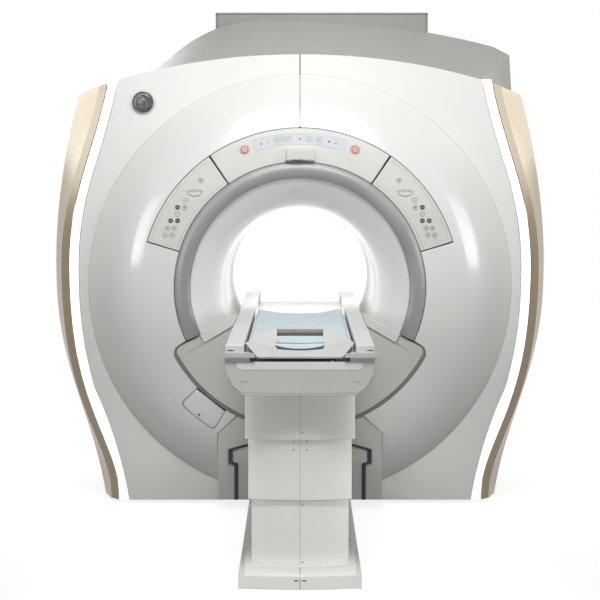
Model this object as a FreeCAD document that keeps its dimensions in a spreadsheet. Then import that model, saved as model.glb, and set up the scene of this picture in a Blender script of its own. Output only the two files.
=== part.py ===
import FreeCAD, Part
import os
import re

import Sketcher
from FreeCAD import Placement, Rotation, Vector

# Wide-bore MRI scanner with its patient table. Millimetres, +Z up, floor at z = 0,
# patient end at -Y, magnet at +Y, origin under the middle of the machine.

DIMENSIONS = {
    # the magnet's own axis and the round parts about it
    "iso_height": 1020,
    "bore_radius": 350,
    "tube_wall": 8,
    "funnel_mouth": 506,
    "funnel_front": 206,
    "funnel_end": 520,
    "funnel_mid_radius": 395,
    "funnel_mid_depth": 318,
    "tube_end": 1650,
    "ring_inner": 504,
    "ring_outer": 577,
    "ring_front": 180,
    "ring_edge_front": 192,
    "ring_back": 204,
    "ring_sweep": 230,
    # front cover: a dome about the bore, then a flat rim with barrel-shaped sides
    "fascia_inner": 580,
    "dome_inner_depth": 195,
    "fascia_mid_radius": 655,
    "fascia_mid_depth": 202,
    "fascia_outer": 733,
    "fascia_depth": 215,
    "dome_mid_radius": 873,
    "dome_mid_depth": 271,
    "crease_radius": 986,
    "rim_depth": 370,
    "cover_wall": 8,
    "seam_gap": 3,
    "top_middle": 2099,
    "top_quarter": 2071,
    "cut_reach": 1200,
    # heights at which the barrel shape of the sides is given
    "level_one": 18,
    "level_two": 258,
    "level_three": 540,
    "level_four": 800,
    "level_five": 1050,
    "level_six": 1300,
    "level_seven": 1560,
    "level_eight": 1790,
    "level_nine": 1982,
    # half width of the front cover at each height
    "edge_one": 799,
    "edge_two": 852,
    "edge_three": 958,
    "edge_four": 1013,
    "edge_five": 1031,
    "edge_six": 1019,
    "edge_seven": 960,
    "edge_eight": 891,
    "edge_nine": 845,
    # half width of the widest line of the side panels at each height
    "side_one": 927,
    "side_two": 982,
    "side_three": 1073,
    "side_four": 1138,
    "side_five": 1160,
    "side_six": 1155,
    "side_seven": 1125,
    "side_eight": 1081,
    "side_nine": 1026,
    # light strips, two-facet side panels and the covers behind them
    "strip_width": 45,
    "strip_thickness": 26,
    "strip_gap": 4,
    "strip_overlap": 14,
    "facet_width": 40,
    "facet_depth": 438,
    "side_depth": 600,
    "side_back": 1000,
    "side_tuck": 25,
    "side_top_drop": 80,
    "side_top_run": 255,
    "shell_wall": 8,
    "magnet_tuck": 40,
    "magnet_rear_tuck": 75,
    "magnet_back": 1885,
    "magnet_top": 1925,
    # grey cover on top: its foot, knee, shoulder and crest, then the long fall to the right
    "roof_front": 382,
    "roof_brow": 900,
    "roof_back": 1885,
    "roof_wall": 8,
    "roof_foot_height": 1930,
    "roof_left_foot": 1000,
    "roof_left_knee": 800,
    "roof_knee_height": 1965,
    "roof_left_shoulder": 620,
    "roof_shoulder_height": 2115,
    "roof_left_via": 400,
    "roof_left_via_height": 2250,
    "roof_crest": 100,
    "roof_crest_height": 2284,
    "roof_right_via": 440,
    "roof_right_via_height": 2256,
    "roof_right_shoulder": 940,
    "roof_right_shoulder_height": 2160,
    "roof_right_knee": 1020,
    "roof_right_knee_height": 2119,
    "roof_right_foot": 1031,
    "rear_inset": 14,
    # the same line just behind the front cover
    "brow_foot": 838,
    "brow_foot_height": 1931,
    "brow_knee": 815,
    "brow_knee_height": 1962,
    "brow_left_shoulder_height": 2030,
    "brow_via_height": 2060,
    "brow_crest_height": 2086,
    "brow_right_shoulder": 760,
    "brow_right_shoulder_height": 1996,
    # service turret
    "turret_width": 1044,
    "turret_centre": 107,
    "turret_front": 1000,
    "turret_back": 1700,
    "turret_base": 2225,
    "turret_top": 2324,
    "turret_wall": 6,
    "turret_corner": 20,
    "lid_thickness": 8,
    # rear cover and its flare
    "rear_face": 1893,
    "rear_end": 2006,
    "flare_radius": 470,
    "flare_mid_radius": 385,
    "flare_mid_depth": 1830,
    "collar_radius": 560,
    # magnet
    "vessel_radius": 890,
    "vessel_bore": 460,
    "vessel_front": 540,
    "vessel_back": 1860,
    "vessel_wall": 12,
    "helium_outer": 820,
    "helium_bore": 510,
    "helium_inset": 70,
    "helium_wall": 6,
    "winding_bore": 530,
    "winding_height": 60,
    "winding_width": 120,
    "winding_pitch": 300,
    "shield_bore": 740,
    "shield_height": 55,
    "gradient_bore": 380,
    "gradient_outer": 450,
    "gradient_front": 560,
    "gradient_back": 1740,
    "body_coil_bore": 361,
    "body_coil_outer": 372,
    "body_coil_front": 740,
    "body_coil_back": 1480,
    "cold_head_radius": 95,
    "cold_head_flange": 140,
    "cold_head_flange_height": 1960,
    "cold_head_root": 1860,
    "cold_head_top": 2270,
    "cold_head_depth": 1300,
    "saddle_half_width": 560,
    "saddle_thickness": 140,
    "saddle_top": 330,
    "saddle_front": 620,
    "saddle_rear": 1640,
    # control fascia over the bore
    "fascia_centre_sweep": 68.4,
    "fascia_side_middle": 54,
    "fascia_side_sweep": 38.2,
    "fascia_cut": 73.6,
    "fascia_bend": 0.56,
    "display_inner": 660,
    "display_outer": 710,
    "display_sweep": 36,
    "display_inner_depth": 201,
    "display_outer_depth": 208.5,
    "display_thickness": 4.7,
    "display_recess": 5,
    "display_gap": 0.5,
    "stop_across": 254,
    "stop_up": 636,
    "stop_radius": 20,
    "stop_fit": 0.08,
    "stop_edge": 3,
    "stop_front": 194,
    "stop_back": 236,
    "key_length": 6,
    "key_proud": 1.5,
    "light_bottom": 583,
    "light_top": 637,
    "light_half_top": 60,
    "light_half_bottom": 68,
    "light_front": 162,
    "light_back": 208,
    "light_corner": 8,
    # slanted lips, lower cowl and its gasket
    "lip_angle": 30.5,
    "lip_offset": 46,
    "lip_width": 42,
    "lip_inner": 301,
    "lip_low_inner": 353,
    "lip_outer": 508,
    "lip_front": 187,
    "lip_edge": 3,
    "cowl_radius": 642,
    "cowl_corner": 28,
    "cowl_corner_turn": 133,
    "cowl_front": 197,
    "cowl_back": 205,
    "cowl_notch_half": 286,
    "cowl_notch_top": 850,
    "gasket_width": 15,
    "gasket_under": 4,
    "gasket_front": 206,
    "gasket_back": 222,
    "gasket_end_half": 526,
    "gasket_end_height": 758,
    # kick panel under the cowl and the dock seal on it
    "kick_half": 378,
    "kick_front": 212,
    "kick_back": 430,
    "kick_bottom": 40,
    "kick_wall": 8,
    "kick_shoulder": 345,
    "kick_neck_half": 290,
    "dock_half_low": 285,
    "dock_half_high": 310,
    "dock_step": 208,
    "dock_shoulder": 268,
    "dock_top": 318,
    "seal_low": 18,
    "seal_high": 21,
    "seal_thin": 6,
    "seal_front": 204,
    "dock_ledge": 7,
    # access hatch at the lower left, its latch and the round badge
    "hatch_middle": 218.4,
    "hatch_half_sweep": 7.1,
    "hatch_inner": 668,
    "hatch_outer": 766,
    "hatch_corner": 20,
    "hatch_corner_lean": 50,
    "hatch_gap": 3,
    "hinge_at": 668,
    "hinge_depth": 211,
    "hinge_radius": 4,
    "hinge_half": 60,
    "degrees_per_radian": 57.2958,
    "latch_at": 750,
    "latch_radius": 5,
    "latch_fit": 0.08,
    "latch_front": 217,
    "latch_back": 234,
    "latch_slot": 1.5,
    "badge_across": 731,
    "badge_up": 856,
    "badge_radius": 50,
    "badge_mount": 58,
    "badge_front": 358,
    "badge_step": 365,
    # bridge that carries the cradle inside the bore
    "bridge_front": 207,
    "bridge_back": 1700,
    "bridge_low": 815,
    "bridge_deck": 870,
    "bridge_deck_wall": 12,
    "bridge_leg": 16,
    # table top
    "table_near": -2000,
    "table_far": 188,
    "rail_top": 920,
    "rail_low": 890,
    "rail_inner": 207,
    "rail_outer": 276,
    "rail_corner": 5,
    "rail_web": 240,
    "rail_web_low": 858,
    "rail_web_near": -1930,
    "block_low": 873,
    "block_inner": 165,
    "block_outer": 289,
    "block_near": -2006,
    "block_far": -1990,
    "block_foot_gap": 1,
    "block_foot_far": -1932,
    "housing_near": -1990,
    "housing_far": 180,
    "housing_top": 858,
    "housing_half": 277,
    "housing_waist": 262,
    "housing_waist_height": 787,
    "housing_foot": 200,
    "housing_bottom": 731,
    "housing_wall": 6,
    "port_half": 185,
    "port_low": 858,
    "port_top": 872,
    "port_front": -1988,
    "port_back": -1925,
    "port_mouth": 130,
    "port_mouth_height": 8,
    "port_mouth_depth": 20,
    # cradle, its end cap, handle and mattress
    "cradle_half": 199,
    "cradle_low": 876,
    "cradle_chine": 180,
    "cradle_chine_height": 888,
    "cradle_edge": 904,
    "cradle_middle": 886,
    "cradle_near": -1915,
    "cradle_far": 150,
    "mattress_half": 196,
    "mattress_root": 904,
    "mattress_root_middle": 886.5,
    "mattress_side": 928,
    "mattress_crown_half": 186,
    "mattress_crown": 936,
    "mattress_middle": 911,
    "mattress_near": -1895,
    "mattress_far": 145,
    "mattress_slope_low": 914,
    "mattress_slope_high": 944,
    "mattress_slope_run": 58,
    "cap_tilt": 27.4,
    "cap_near": -2000,
    "cap_height": 876,
    "cap_length": 191,
    "cap_low_half": 157,
    "cap_wide_half": 203,
    "cap_wide_at": 100,
    "cap_top_half": 126,
    "cap_thickness": 7,
    "cap_opening_half": 87,
    "cap_opening_low": 58,
    "cap_opening_dip": 46,
    "handle_radius": 12.5,
    "handle_at": 178.5,
    "handle_drop": 3,
    # cradle drive inside the table housing
    "pulley_radius": 30,
    "pulley_half_width": 12,
    "pulley_depth": -1700,
    "pulley_height": 806,
    "idler_depth": 60,
    "axle_radius": 6,
    "axle_half": 20,
    "belt_gap": 0.05,
    "belt_thickness": 2.5,
    "belt_half_width": 9,
    # pedestal: three telescoping covers over the lift, on a long low base
    "bow": 50,
    "pedestal_near": -1890,
    "pedestal_far": -1250,
    "nest_step": 12,
    "sheet_wall": 4,
    "upper_half": 207,
    "upper_low": 555,
    "upper_top": 731,
    "middle_low": 327,
    "middle_top": 579,
    "lower_low": 84,
    "lower_top": 429,
    "base_near": -1926,
    "base_shoulder": -1900,
    "base_half": 232,
    "base_far": 198,
    "deck_height": 49,
    "plinth_half": 209,
    "plinth_near": -1906,
    "plinth_shoulder": -1866,
    "plinth_far": -1244,
    "wing_near": -1238,
    "wing_low_half": 231,
    "wing_top_near": -1226,
    "wing_top_half": 203,
    "wing_top": 240,
    "wing_hollow_half": 188,
    "wing_hollow_near": -1180,
    "wing_hollow_far": 160,
    "wing_hollow_top": 225,
    # lift inside the pedestal
    "column_depth": -1560,
    "column_outer": 65,
    "column_bore": 50,
    "column_top": 424,
    "ram_radius": 49.95,
    "ram_bore": 24,
    "ram_low": 345,
    "nut_height": 30,
    "screw_radius": 14,
    "screw_fit": 0.05,
    "screw_low": 88,
    "screw_top": 405,
}

LEVELS = ("one", "two", "three", "four", "five", "six", "seven", "eight", "nine")

# keys of the left keypad: radius from the bore's axis, and angle outwards from the keypad's middle
KEYS = (
    (671, -11.3), (662, -1.3), (673, 2.7), (645, 1.2), (656, 5.0), (669, 8.6),
    (641, 7.3), (667, 11.8), (640, 10.7), (665, 14.7), (635, 13.6),
)
KEY_RADIUS = 12

doc = FreeCAD.newDocument("MriScanner")
made = []


# ---------------------------------------------------------------- sheet, bodies and sketches

def make_sheet():
    """Write the driving dimensions into the sheet, one alias a row."""
    sheet = doc.addObject("Spreadsheet::Sheet", "Dimensions")
    for row, (alias, number) in enumerate(DIMENSIONS.items(), start=1):
        sheet.set(f"A{row}", alias)
        sheet.set(f"B{row}", str(number))
        sheet.setAlias(f"B{row}", alias)
    doc.recompute()
    return sheet


def bound(text):
    """Turn the plain names of dimensions in an expression into references to the sheet."""
    def reference(match):
        word = match.group()
        return f"Dimensions.{word}" if word in DIMENSIONS else word
    return re.sub(r"[a-z_]+", reference, str(text))


def size(text):
    """The present value of an expression."""
    answer = sheet.evalExpression(bound(text))
    return float(getattr(answer, "Value", answer))


def body(label, x="0", y="0", z="0", axis=None, angle="0"):
    """A new piece with its own frame at (x, y, z), turned about an axis if one is given."""
    piece = doc.addObject("PartDesign::Body", label)
    piece.Label = label
    rotation = Rotation(Vector(*(axis or (0, 0, 1))), size(angle))
    piece.Placement = Placement(Vector(size(x), size(y), size(z)), rotation)
    piece.setExpression("Placement.Base.x", bound(x))
    piece.setExpression("Placement.Base.y", bound(y))
    piece.setExpression("Placement.Base.z", bound(z))
    if axis:
        piece.setExpression("Placement.Rotation.Angle", bound(angle))
    made.append(piece)
    return piece


def blank_sketch(piece, role, offset):
    """An empty sketch parallel to one of the piece's own planes, at a distance along +X, +Y or +Z."""
    sketch = piece.newObject("Sketcher::SketchObject", "Sketch")
    plane = [item for item in piece.Origin.OriginFeatures if item.Role == role][0]
    sketch.AttachmentSupport = (plane, "")
    sketch.MapMode = "FlatFace"
    sign = "-" if role == "XZ_Plane" else ""
    sketch.setExpression("AttachmentOffset.Base.z", bound(f"{sign}({offset})"))
    return sketch


def hold_point(sketch, geometry, end, across, up):
    """Hold one point of a sketch at a place that the sheet drives."""
    for kind, text in (("DistanceX", across), ("DistanceY", up)):
        rule = Sketcher.Constraint(kind, -1, 1, geometry, end, size(text))
        number = sketch.addConstraint(rule)
        sketch.setExpression(f"Constraints[{number}]", bound(text))


def add_outline(sketch, points):
    """A closed outline. A point is (across, up), reached by a straight line, or
    (across, up, via across, via up), reached by an arc through the via point."""
    first = sketch.GeometryCount
    corners = [Vector(size(point[0]), size(point[1]), 0) for point in points]
    ends = []
    for index, point in enumerate(points):
        start = corners[index - 1]
        if len(point) == 2:
            sketch.addGeometry(Part.LineSegment(start, corners[index]), False)
            ends.append((1, 2))
            continue
        via = Vector(size(point[2]), size(point[3]), 0)
        arc = sketch.addGeometry(Part.Arc(start, via, corners[index]), False)
        forward = sketch.getPoint(arc, 1).distanceToPoint(start) < 1e-4
        ends.append((1, 2) if forward else (2, 1))
    for index in range(len(points)):
        after = (index + 1) % len(points)
        joined = (first + index, ends[index][1], first + after, ends[after][0])
        sketch.addConstraint(Sketcher.Constraint("Coincident", *joined))
    for index, point in enumerate(points):
        hold_point(sketch, first + index, ends[index][1], point[0], point[1])
        if len(point) == 4:
            via = Part.Point(Vector(size(point[2]), size(point[3]), 0))
            mark = sketch.addGeometry(via, True)
            hold_point(sketch, mark, 1, point[2], point[3])
            sketch.addConstraint(Sketcher.Constraint("PointOnObject", mark, 1, first + index))


def outline(piece, role, points, offset="0"):
    """A sketch with one closed outline in it."""
    sketch = blank_sketch(piece, role, offset)
    add_outline(sketch, points)
    return sketch


def add_circle(sketch, across, up, radius):
    """A circle held at a place and a size that the sheet drives."""
    centre = Vector(size(across), size(up), 0)
    index = sketch.addGeometry(Part.Circle(centre, Vector(0, 0, 1), size(radius)), False)
    number = sketch.addConstraint(Sketcher.Constraint("Radius", index, size(radius)))
    sketch.setExpression(f"Constraints[{number}]", bound(radius))
    hold_point(sketch, index, 3, across, up)


def circles(piece, role, rounds, offset="0"):
    """A sketch of circles, each (across, up, radius)."""
    sketch = blank_sketch(piece, role, offset)
    for across, up, radius in rounds:
        add_circle(sketch, across, up, radius)
    return sketch


def box(low_across, low_up, high_across, high_up):
    """The four corners of a rectangle."""
    return [(low_across, low_up), (high_across, low_up), (high_across, high_up), (low_across, high_up)]


def pad(piece, sketch, length):
    """Raise a sketch along +X, +Y or +Z."""
    feature = piece.newObject("PartDesign::Pad", "Pad")
    feature.Profile = sketch
    feature.Length = size(length)
    feature.setExpression("Length", bound(length))
    feature.Reversed = sketch.AttachmentSupport[0][0].Role == "XZ_Plane"
    doc.recompute()
    return feature


def check_cut(piece, before):
    """A cut that takes nothing away is a mistake in its direction or place."""
    if piece.Shape.Volume > before - 1:
        raise RuntimeError(f"{piece.Label}: a cut took nothing away")


def cut(piece, sketch, depth="cut_reach"):
    """Cut a sketch to both sides of its plane, half the depth each way."""
    before = piece.Shape.Volume
    feature = piece.newObject("PartDesign::Pocket", "Cut")
    feature.Profile = sketch
    feature.Length = size(depth)
    feature.setExpression("Length", bound(depth))
    feature.Midplane = True
    doc.recompute()
    check_cut(piece, before)
    return feature


def cut_between(piece, role, points, start, end):
    """Cut an outline between two distances along +X, +Y or +Z."""
    sketch = outline(piece, role, points, f"(({start}) + ({end})) / 2")
    return cut(piece, sketch, f"({end}) - ({start})")


def turned(piece, sketch, sweep="360", both_ways=False, backwards=False):
    """Turn a (depth, radius) outline about the bore's axis, starting straight up."""
    feature = piece.newObject("PartDesign::Revolution", "Turned")
    feature.Profile = sketch
    feature.ReferenceAxis = (sketch, ["H_Axis"])
    feature.Angle = size(sweep)
    feature.setExpression("Angle", bound(sweep))
    feature.Midplane = both_ways
    feature.Reversed = backwards
    doc.recompute()
    return feature


def groove(piece, sketch, sweep):
    """Turn a (depth, radius) outline about the bore's axis and take it away, half each way."""
    before = piece.Shape.Volume
    feature = piece.newObject("PartDesign::Groove", "Groove")
    feature.Profile = sketch
    feature.ReferenceAxis = (sketch, ["H_Axis"])
    feature.Angle = size(sweep)
    feature.setExpression("Angle", bound(sweep))
    feature.Midplane = True
    doc.recompute()
    check_cut(piece, before)
    return feature


def loft(piece, sketches, ruled=False):
    """Join outlines at several heights or depths with one skin."""
    feature = piece.newObject("PartDesign::AdditiveLoft", "Loft")
    feature.Profile = sketches[0]
    feature.Sections = sketches[1:]
    feature.Ruled = ruled
    doc.recompute()
    return feature


def round_edges(piece, radius, wanted):
    """Round the edges of the last feature for which wanted(middle point, direction) is true."""
    last = piece.Tip
    names = []
    for number, edge in enumerate(last.Shape.Edges, start=1):
        half_way = (edge.FirstParameter + edge.LastParameter) / 2
        if wanted(edge.valueAt(half_way), edge.tangentAt(half_way)):
            names.append(f"Edge{number}")
    feature = piece.newObject("PartDesign::Fillet", "Round")
    feature.Base = (last, names)
    feature.Radius = size(radius)
    feature.setExpression("Radius", bound(radius))
    doc.recompute()
    return feature


def signed(side):
    """Minus for the left side (-X), nothing for the right."""
    return "-" if side < 0 else ""


def turned_piece(label, points, sweep="360", both_ways=False):
    """A piece turned about the bore's axis from a (depth, radius) outline."""
    piece = body(label, z="iso_height")
    turned(piece, outline(piece, "YZ_Plane", points), sweep, both_ways)
    return piece


def upright(label, points, low, high, corner=None):
    """A piece raised from a plan outline between two heights, with rounded upright corners."""
    piece = body(label)
    pad(piece, outline(piece, "XY_Plane", points, low), f"({high}) - ({low})")
    if corner:
        round_edges(piece, corner, lambda middle, along: abs(along.z) > 0.9)
    return piece


def lengthwise(label, points, near, far):
    """A piece of one section, run along the machine between two depths."""
    piece = body(label)
    pad(piece, outline(piece, "XZ_Plane", points, near), f"({far}) - ({near})")
    return piece


# ---------------------------------------------------------------- front cover

def dome_profile(piece, inner, outer):
    """Section of the dome between two of its radii: the front line, and the same one wall back."""
    depth = {"fascia_inner": "dome_inner_depth",
             "fascia_outer": "fascia_depth",
             "crease_radius": "rim_depth"}
    via = {"fascia_outer": ("fascia_mid_depth", "fascia_mid_radius"),
           "crease_radius": ("dome_mid_depth", "dome_mid_radius")}
    order = list(depth)
    order = order[order.index(inner):order.index(outer) + 1]
    front = [(depth[inner], inner)]
    back = [(f"{depth[outer]} + cover_wall", outer)]
    for name in order[1:]:
        front.append((depth[name], name) + via[name])
    for name, before in zip(order[:0:-1], order[-2::-1]):
        middle = via[name]
        back.append((f"{depth[before]} + cover_wall", before, f"{middle[0]} + cover_wall", middle[1]))
    return outline(piece, "YZ_Plane", front + back)


def side_line(side, family, shift, top):
    """Points down one barrel-shaped side from a level, as arcs through three levels each."""
    def place(number):
        level = LEVELS[number]
        return (f"{signed(side)}({family}_{level} - ({shift}))", f"level_{level} - iso_height")
    points = []
    end = top - 2
    while end >= 0:
        points.append(place(end) + place(end + 1))
        end -= 2
    if end == -1:
        points.append(place(0))
    return points


def fascia_opening(piece, side):
    """Half of the sector over the bore that the control fascia fills."""
    reach = "(fascia_outer + seam_gap)"
    hole = "funnel_mouth"
    def place(radius, angle):
        return (f"{signed(side)}{radius} * sin({angle})", f"{radius} * cos({angle})")
    points = [("0", hole), ("0", reach), place(reach, "fascia_cut") + place(reach, "fascia_cut / 2"),
              place(hole, "fascia_cut")]
    return outline(piece, "XZ_Plane", points)


def front_cover(label, side):
    """Half of the front cover: dome and rim in one moulding, split down the middle."""
    sign = signed(side)
    piece = body(label, z="iso_height")
    turned(piece, dome_profile(piece, "fascia_inner", "crease_radius"), "180", backwards=side < 0)
    rim = [("0", "top_middle - iso_height"),
           (f"{sign}edge_nine", "level_nine - iso_height",
            f"{sign}edge_nine / 2", "top_quarter - iso_height")]
    rim += side_line(side, "edge", "0", 8)
    rim += [("0", "level_one - iso_height"), ("0", "2 - crease_radius"),
            ("0", "crease_radius - 2", f"{sign}(crease_radius - 2)", "0")]
    pad(piece, outline(piece, "XZ_Plane", rim, "rim_depth"), "cover_wall")
    cut(piece, fascia_opening(piece, side))
    grow = "gasket_width + seam_gap"
    half_cowl = [("0", "-lip_offset * 2")] + cowl_shoulder(side, grow)
    half_cowl.append(("0", f"-(cowl_radius + {grow})", f"{sign}(cowl_radius + {grow}) * sin(30)",
                      f"-(cowl_radius + {grow}) * cos(30)"))
    cut(piece, outline(piece, "XZ_Plane", half_cowl))
    half = f"{sign}(kick_half + seam_gap)"
    neck = f"{sign}(kick_neck_half + seam_gap)"
    meet = f"-sqrt((cowl_radius + {grow})^2 - (kick_neck_half + seam_gap)^2)"
    kick = [("0", "-iso_height"), (half, "-iso_height"), (half, "kick_shoulder - iso_height"),
            (neck, meet), ("0", meet)]
    cut(piece, outline(piece, "XZ_Plane", kick))
    seam = box("0", "0", f"{sign}seam_gap / 2", "top_middle")
    cut(piece, outline(piece, "XZ_Plane", seam))
    if side < 0:
        opening = hatch_outline("hatch_gap", "cowl_radius", "hatch_middle")
        cut(piece, outline(piece, "XZ_Plane", opening))
    return piece


# ---------------------------------------------------------------- cowl, gasket and lips

def cowl_shoulder(side, grow):
    """Slanted upper line of the cowl and its rounded corner, grown outwards, half as far at the line."""
    sign = signed(-side)
    lift = f"(lip_offset + ({grow}) / 2)"
    reach = f"(cowl_radius + {grow})"
    bend = f"(cowl_corner + {grow})"
    along = f"sqrt(({reach} - {bend})^2 - ({lift} - {bend})^2)"
    centre_x = f"(-sin(lip_angle) * ({lift} - {bend}) - cos(lip_angle) * {along})"
    centre_z = f"(cos(lip_angle) * ({lift} - {bend}) - sin(lip_angle) * {along})"
    middle = "(lip_angle + cowl_corner_turn)"
    inner = (f"{sign}(-cowl_notch_half)", f"({lift} - sin(lip_angle) * cowl_notch_half) / cos(lip_angle)")
    on_line = (f"{sign}({centre_x} - sin(lip_angle) * {bend})", f"{centre_z} + cos(lip_angle) * {bend}")
    on_circle = (f"{sign}({centre_x} * {reach} / ({reach} - {bend}))",
                 f"{centre_z} * {reach} / ({reach} - {bend})",
                 f"{sign}({centre_x} + cos({middle}) * {bend})",
                 f"{centre_z} + sin({middle}) * {bend}")
    return [inner, on_line, on_circle]


def cowl_outline(grow):
    """Both slanted shoulders, both corners and the round lower edge of the cowl."""
    left = cowl_shoulder(-1, grow)
    right = cowl_shoulder(1, grow)
    notch = "cowl_notch_top - iso_height"
    points = [("cowl_notch_half", notch), ("-cowl_notch_half", notch)] + left
    points.append(right[2][:2] + ("0", f"-(cowl_radius + {grow})"))
    points.append(right[1] + right[2][2:])
    points.append(right[0])
    return points


def lower_cowl():
    """Plate under the bore, with a notch in its top edge for the table top."""
    piece = body("lower_cowl", z="iso_height")
    pad(piece, outline(piece, "XZ_Plane", cowl_outline("0"), "cowl_front"), "cowl_back - cowl_front")


def cowl_gasket():
    """Dark seal in the gap round the cowl, open across the bore."""
    piece = body("cowl_gasket", z="iso_height")
    band = outline(piece, "XZ_Plane", cowl_outline("gasket_width"), "gasket_front")
    pad(piece, band, "gasket_back - gasket_front")
    cut(piece, outline(piece, "XZ_Plane", cowl_outline("0 - gasket_under")))
    mouth = box("-gasket_end_half", "gasket_end_height - iso_height", "gasket_end_half", "cut_reach")
    cut(piece, outline(piece, "XZ_Plane", mouth))


def cowl_lip(label, side):
    """Slanted ledge from the bore ring down to the table rail."""
    sign = signed(side)
    piece = body(label, z="iso_height", axis=(0, 1, 0), angle=f"{sign}lip_angle")
    low = "lip_offset - lip_width"
    points = [(f"{sign}lip_outer", "lip_offset"), (f"{sign}lip_inner", "lip_offset"),
              (f"{sign}lip_low_inner", low), (f"{sign}lip_outer", low)]
    pad(piece, outline(piece, "XZ_Plane", points, "lip_front"), "cowl_front - lip_front")
    round_edges(piece, "lip_edge", lambda middle, along: middle.y < size("lip_front") + 0.01)


# ---------------------------------------------------------------- hatch and badge

def hatch_outline(grow, inner, middle):
    """A short sector of the dome with two rounded outer corners."""
    reach = f"(hatch_outer + {grow})"
    half = f"(hatch_half_sweep + {grow} / hatch_outer * degrees_per_radian)"
    inset = f"(hatch_corner / {reach} * degrees_per_radian)"
    low = f"({middle} - {half})"
    high = f"({middle} + {half})"
    shoulder = f"({reach} - hatch_corner)"
    def place(radius, angle):
        return (f"{radius} * sin({angle})", f"{radius} * cos({angle})")
    def corner(angle, lean):
        centre = place(shoulder, angle)
        return (f"{centre[0]} + hatch_corner * sin({lean})", f"{centre[1]} + hatch_corner * cos({lean})")
    first = f"({low} + {inset})"
    last = f"({high} - {inset})"
    return [place(f"({inner})", high), place(f"({inner})", low), place(shoulder, low),
            place(reach, first) + corner(first, f"({middle} - hatch_corner_lean)"),
            place(reach, last) + place(reach, middle),
            place(shoulder, high) + corner(last, f"({middle} + hatch_corner_lean)")]


def access_hatch():
    """Small door that follows the dome, with a hinge barrel behind its inner edge and a latch hole."""
    piece = body("access_hatch", z="iso_height", axis=(0, 1, 0), angle="hatch_middle")
    turned(piece, dome_profile(piece, "fascia_inner", "crease_radius"))
    around = outline(piece, "XZ_Plane", hatch_outline("0", "hatch_inner", "0"))
    add_circle(around, "0", "0", "cut_reach")
    cut(piece, around)
    cut(piece, circles(piece, "XZ_Plane", [("0", "latch_at", "latch_radius + latch_fit")]))
    barrel = circles(piece, "YZ_Plane", [("hinge_depth", "hinge_at", "hinge_radius")], "-hinge_half")
    pad(piece, barrel, "hinge_half * 2")


def hatch_latch():
    """Quarter-turn stud with a screwdriver slot."""
    piece = body("hatch_latch", x="latch_at * sin(hatch_middle)",
                 z="iso_height + latch_at * cos(hatch_middle)")
    pad(piece, circles(piece, "XZ_Plane", [("0", "0", "latch_radius")], "latch_front"),
        "latch_back - latch_front")
    slot = box("-latch_slot / 2", "-latch_radius", "latch_slot / 2", "latch_radius")
    cut(piece, outline(piece, "XZ_Plane", slot, "latch_front"), "latch_slot * 2")


def badge():
    """Plain round badge on a slightly larger mount."""
    piece = body("badge", x="-badge_across", z="iso_height + badge_up")
    steps = [("badge_front", "0"), ("badge_front", "badge_radius"), ("badge_step", "badge_radius"),
             ("badge_step", "badge_mount"), ("rim_depth", "badge_mount"), ("rim_depth", "0")]
    turned(piece, outline(piece, "YZ_Plane", steps))


# ---------------------------------------------------------------- fascia, ring and funnel

def fascia_segment(label, middle, sweep):
    """One curved segment of the control fascia; its frame stands at the middle of the segment."""
    piece = body(label, z="iso_height", axis=(0, 1, 0), angle=middle)
    turned(piece, dome_profile(piece, "fascia_inner", "fascia_outer"), sweep, both_ways=True)
    return piece


def fascia_depth_at(radius):
    """Depth of the fascia's front surface at a radius."""
    share = f"(({radius} - fascia_inner) / (fascia_outer - fascia_inner))"
    rise = "(fascia_depth - dome_inner_depth)"
    return f"dome_inner_depth + {rise} * ({share} * (1 - fascia_bend) + {share}^2 * fascia_bend)"


def keypad(label, side):
    """Side segment of the fascia with its raised keys."""
    piece = fascia_segment(label, f"{signed(side)}fascia_side_middle", "fascia_side_sweep")
    for radius, lean in KEYS:
        across = f"{signed(side)}({radius} * sin({lean}))"
        key = (across, f"{radius} * cos({lean})", str(KEY_RADIUS))
        pad(piece, circles(piece, "XZ_Plane", [key], fascia_depth_at(radius) + " - key_proud"), "key_length")


def light_outline(grow):
    """Front outline of the alignment light's housing."""
    return [(f"-light_half_bottom - {grow}", f"light_bottom - {grow}"),
            (f"light_half_bottom + {grow}", f"light_bottom - {grow}"),
            (f"light_half_top + {grow}", f"light_top + {grow}"),
            (f"-light_half_top - {grow}", f"light_top + {grow}")]


def display_profile(piece, grow, front, thickness):
    """Section of the display strip: a plate that follows the slope of the fascia."""
    points = [(f"display_inner_depth - {front}", f"display_inner - {grow}"),
              (f"display_outer_depth - {front}", f"display_outer + {grow}"),
              (f"display_outer_depth + {thickness}", f"display_outer + {grow}"),
              (f"display_inner_depth + {thickness}", f"display_inner - {grow}")]
    return outline(piece, "YZ_Plane", points)


def fascia_centre():
    """Top segment: recess for the display, holes for two stop buttons and the alignment light."""
    piece = fascia_segment("fascia_centre", "0", "fascia_centre_sweep")
    clearance = "display_gap / display_outer * degrees_per_radian * 2"
    recess = display_profile(piece, "display_gap", "cover_wall", "display_recess")
    groove(piece, recess, f"display_sweep + {clearance}")
    cut(piece, outline(piece, "XZ_Plane", light_outline("display_gap")))
    holes = [(f"{sign}stop_across", "stop_up", "stop_radius + stop_fit") for sign in ("-", "")]
    cut(piece, circles(piece, "XZ_Plane", holes))


def status_display():
    piece = body("status_display", z="iso_height")
    plate = display_profile(piece, "0", "0", "display_thickness")
    turned(piece, plate, "display_sweep", both_ways=True)


def alignment_light():
    """Raised housing over the bore with the light's slot in its lower edge."""
    piece = body("alignment_light", z="iso_height")
    pad(piece, outline(piece, "XZ_Plane", light_outline("0"), "light_front"), "light_back - light_front")
    round_edges(piece, "light_corner", lambda middle, along: middle.y < size("light_front") + 0.01)


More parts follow.
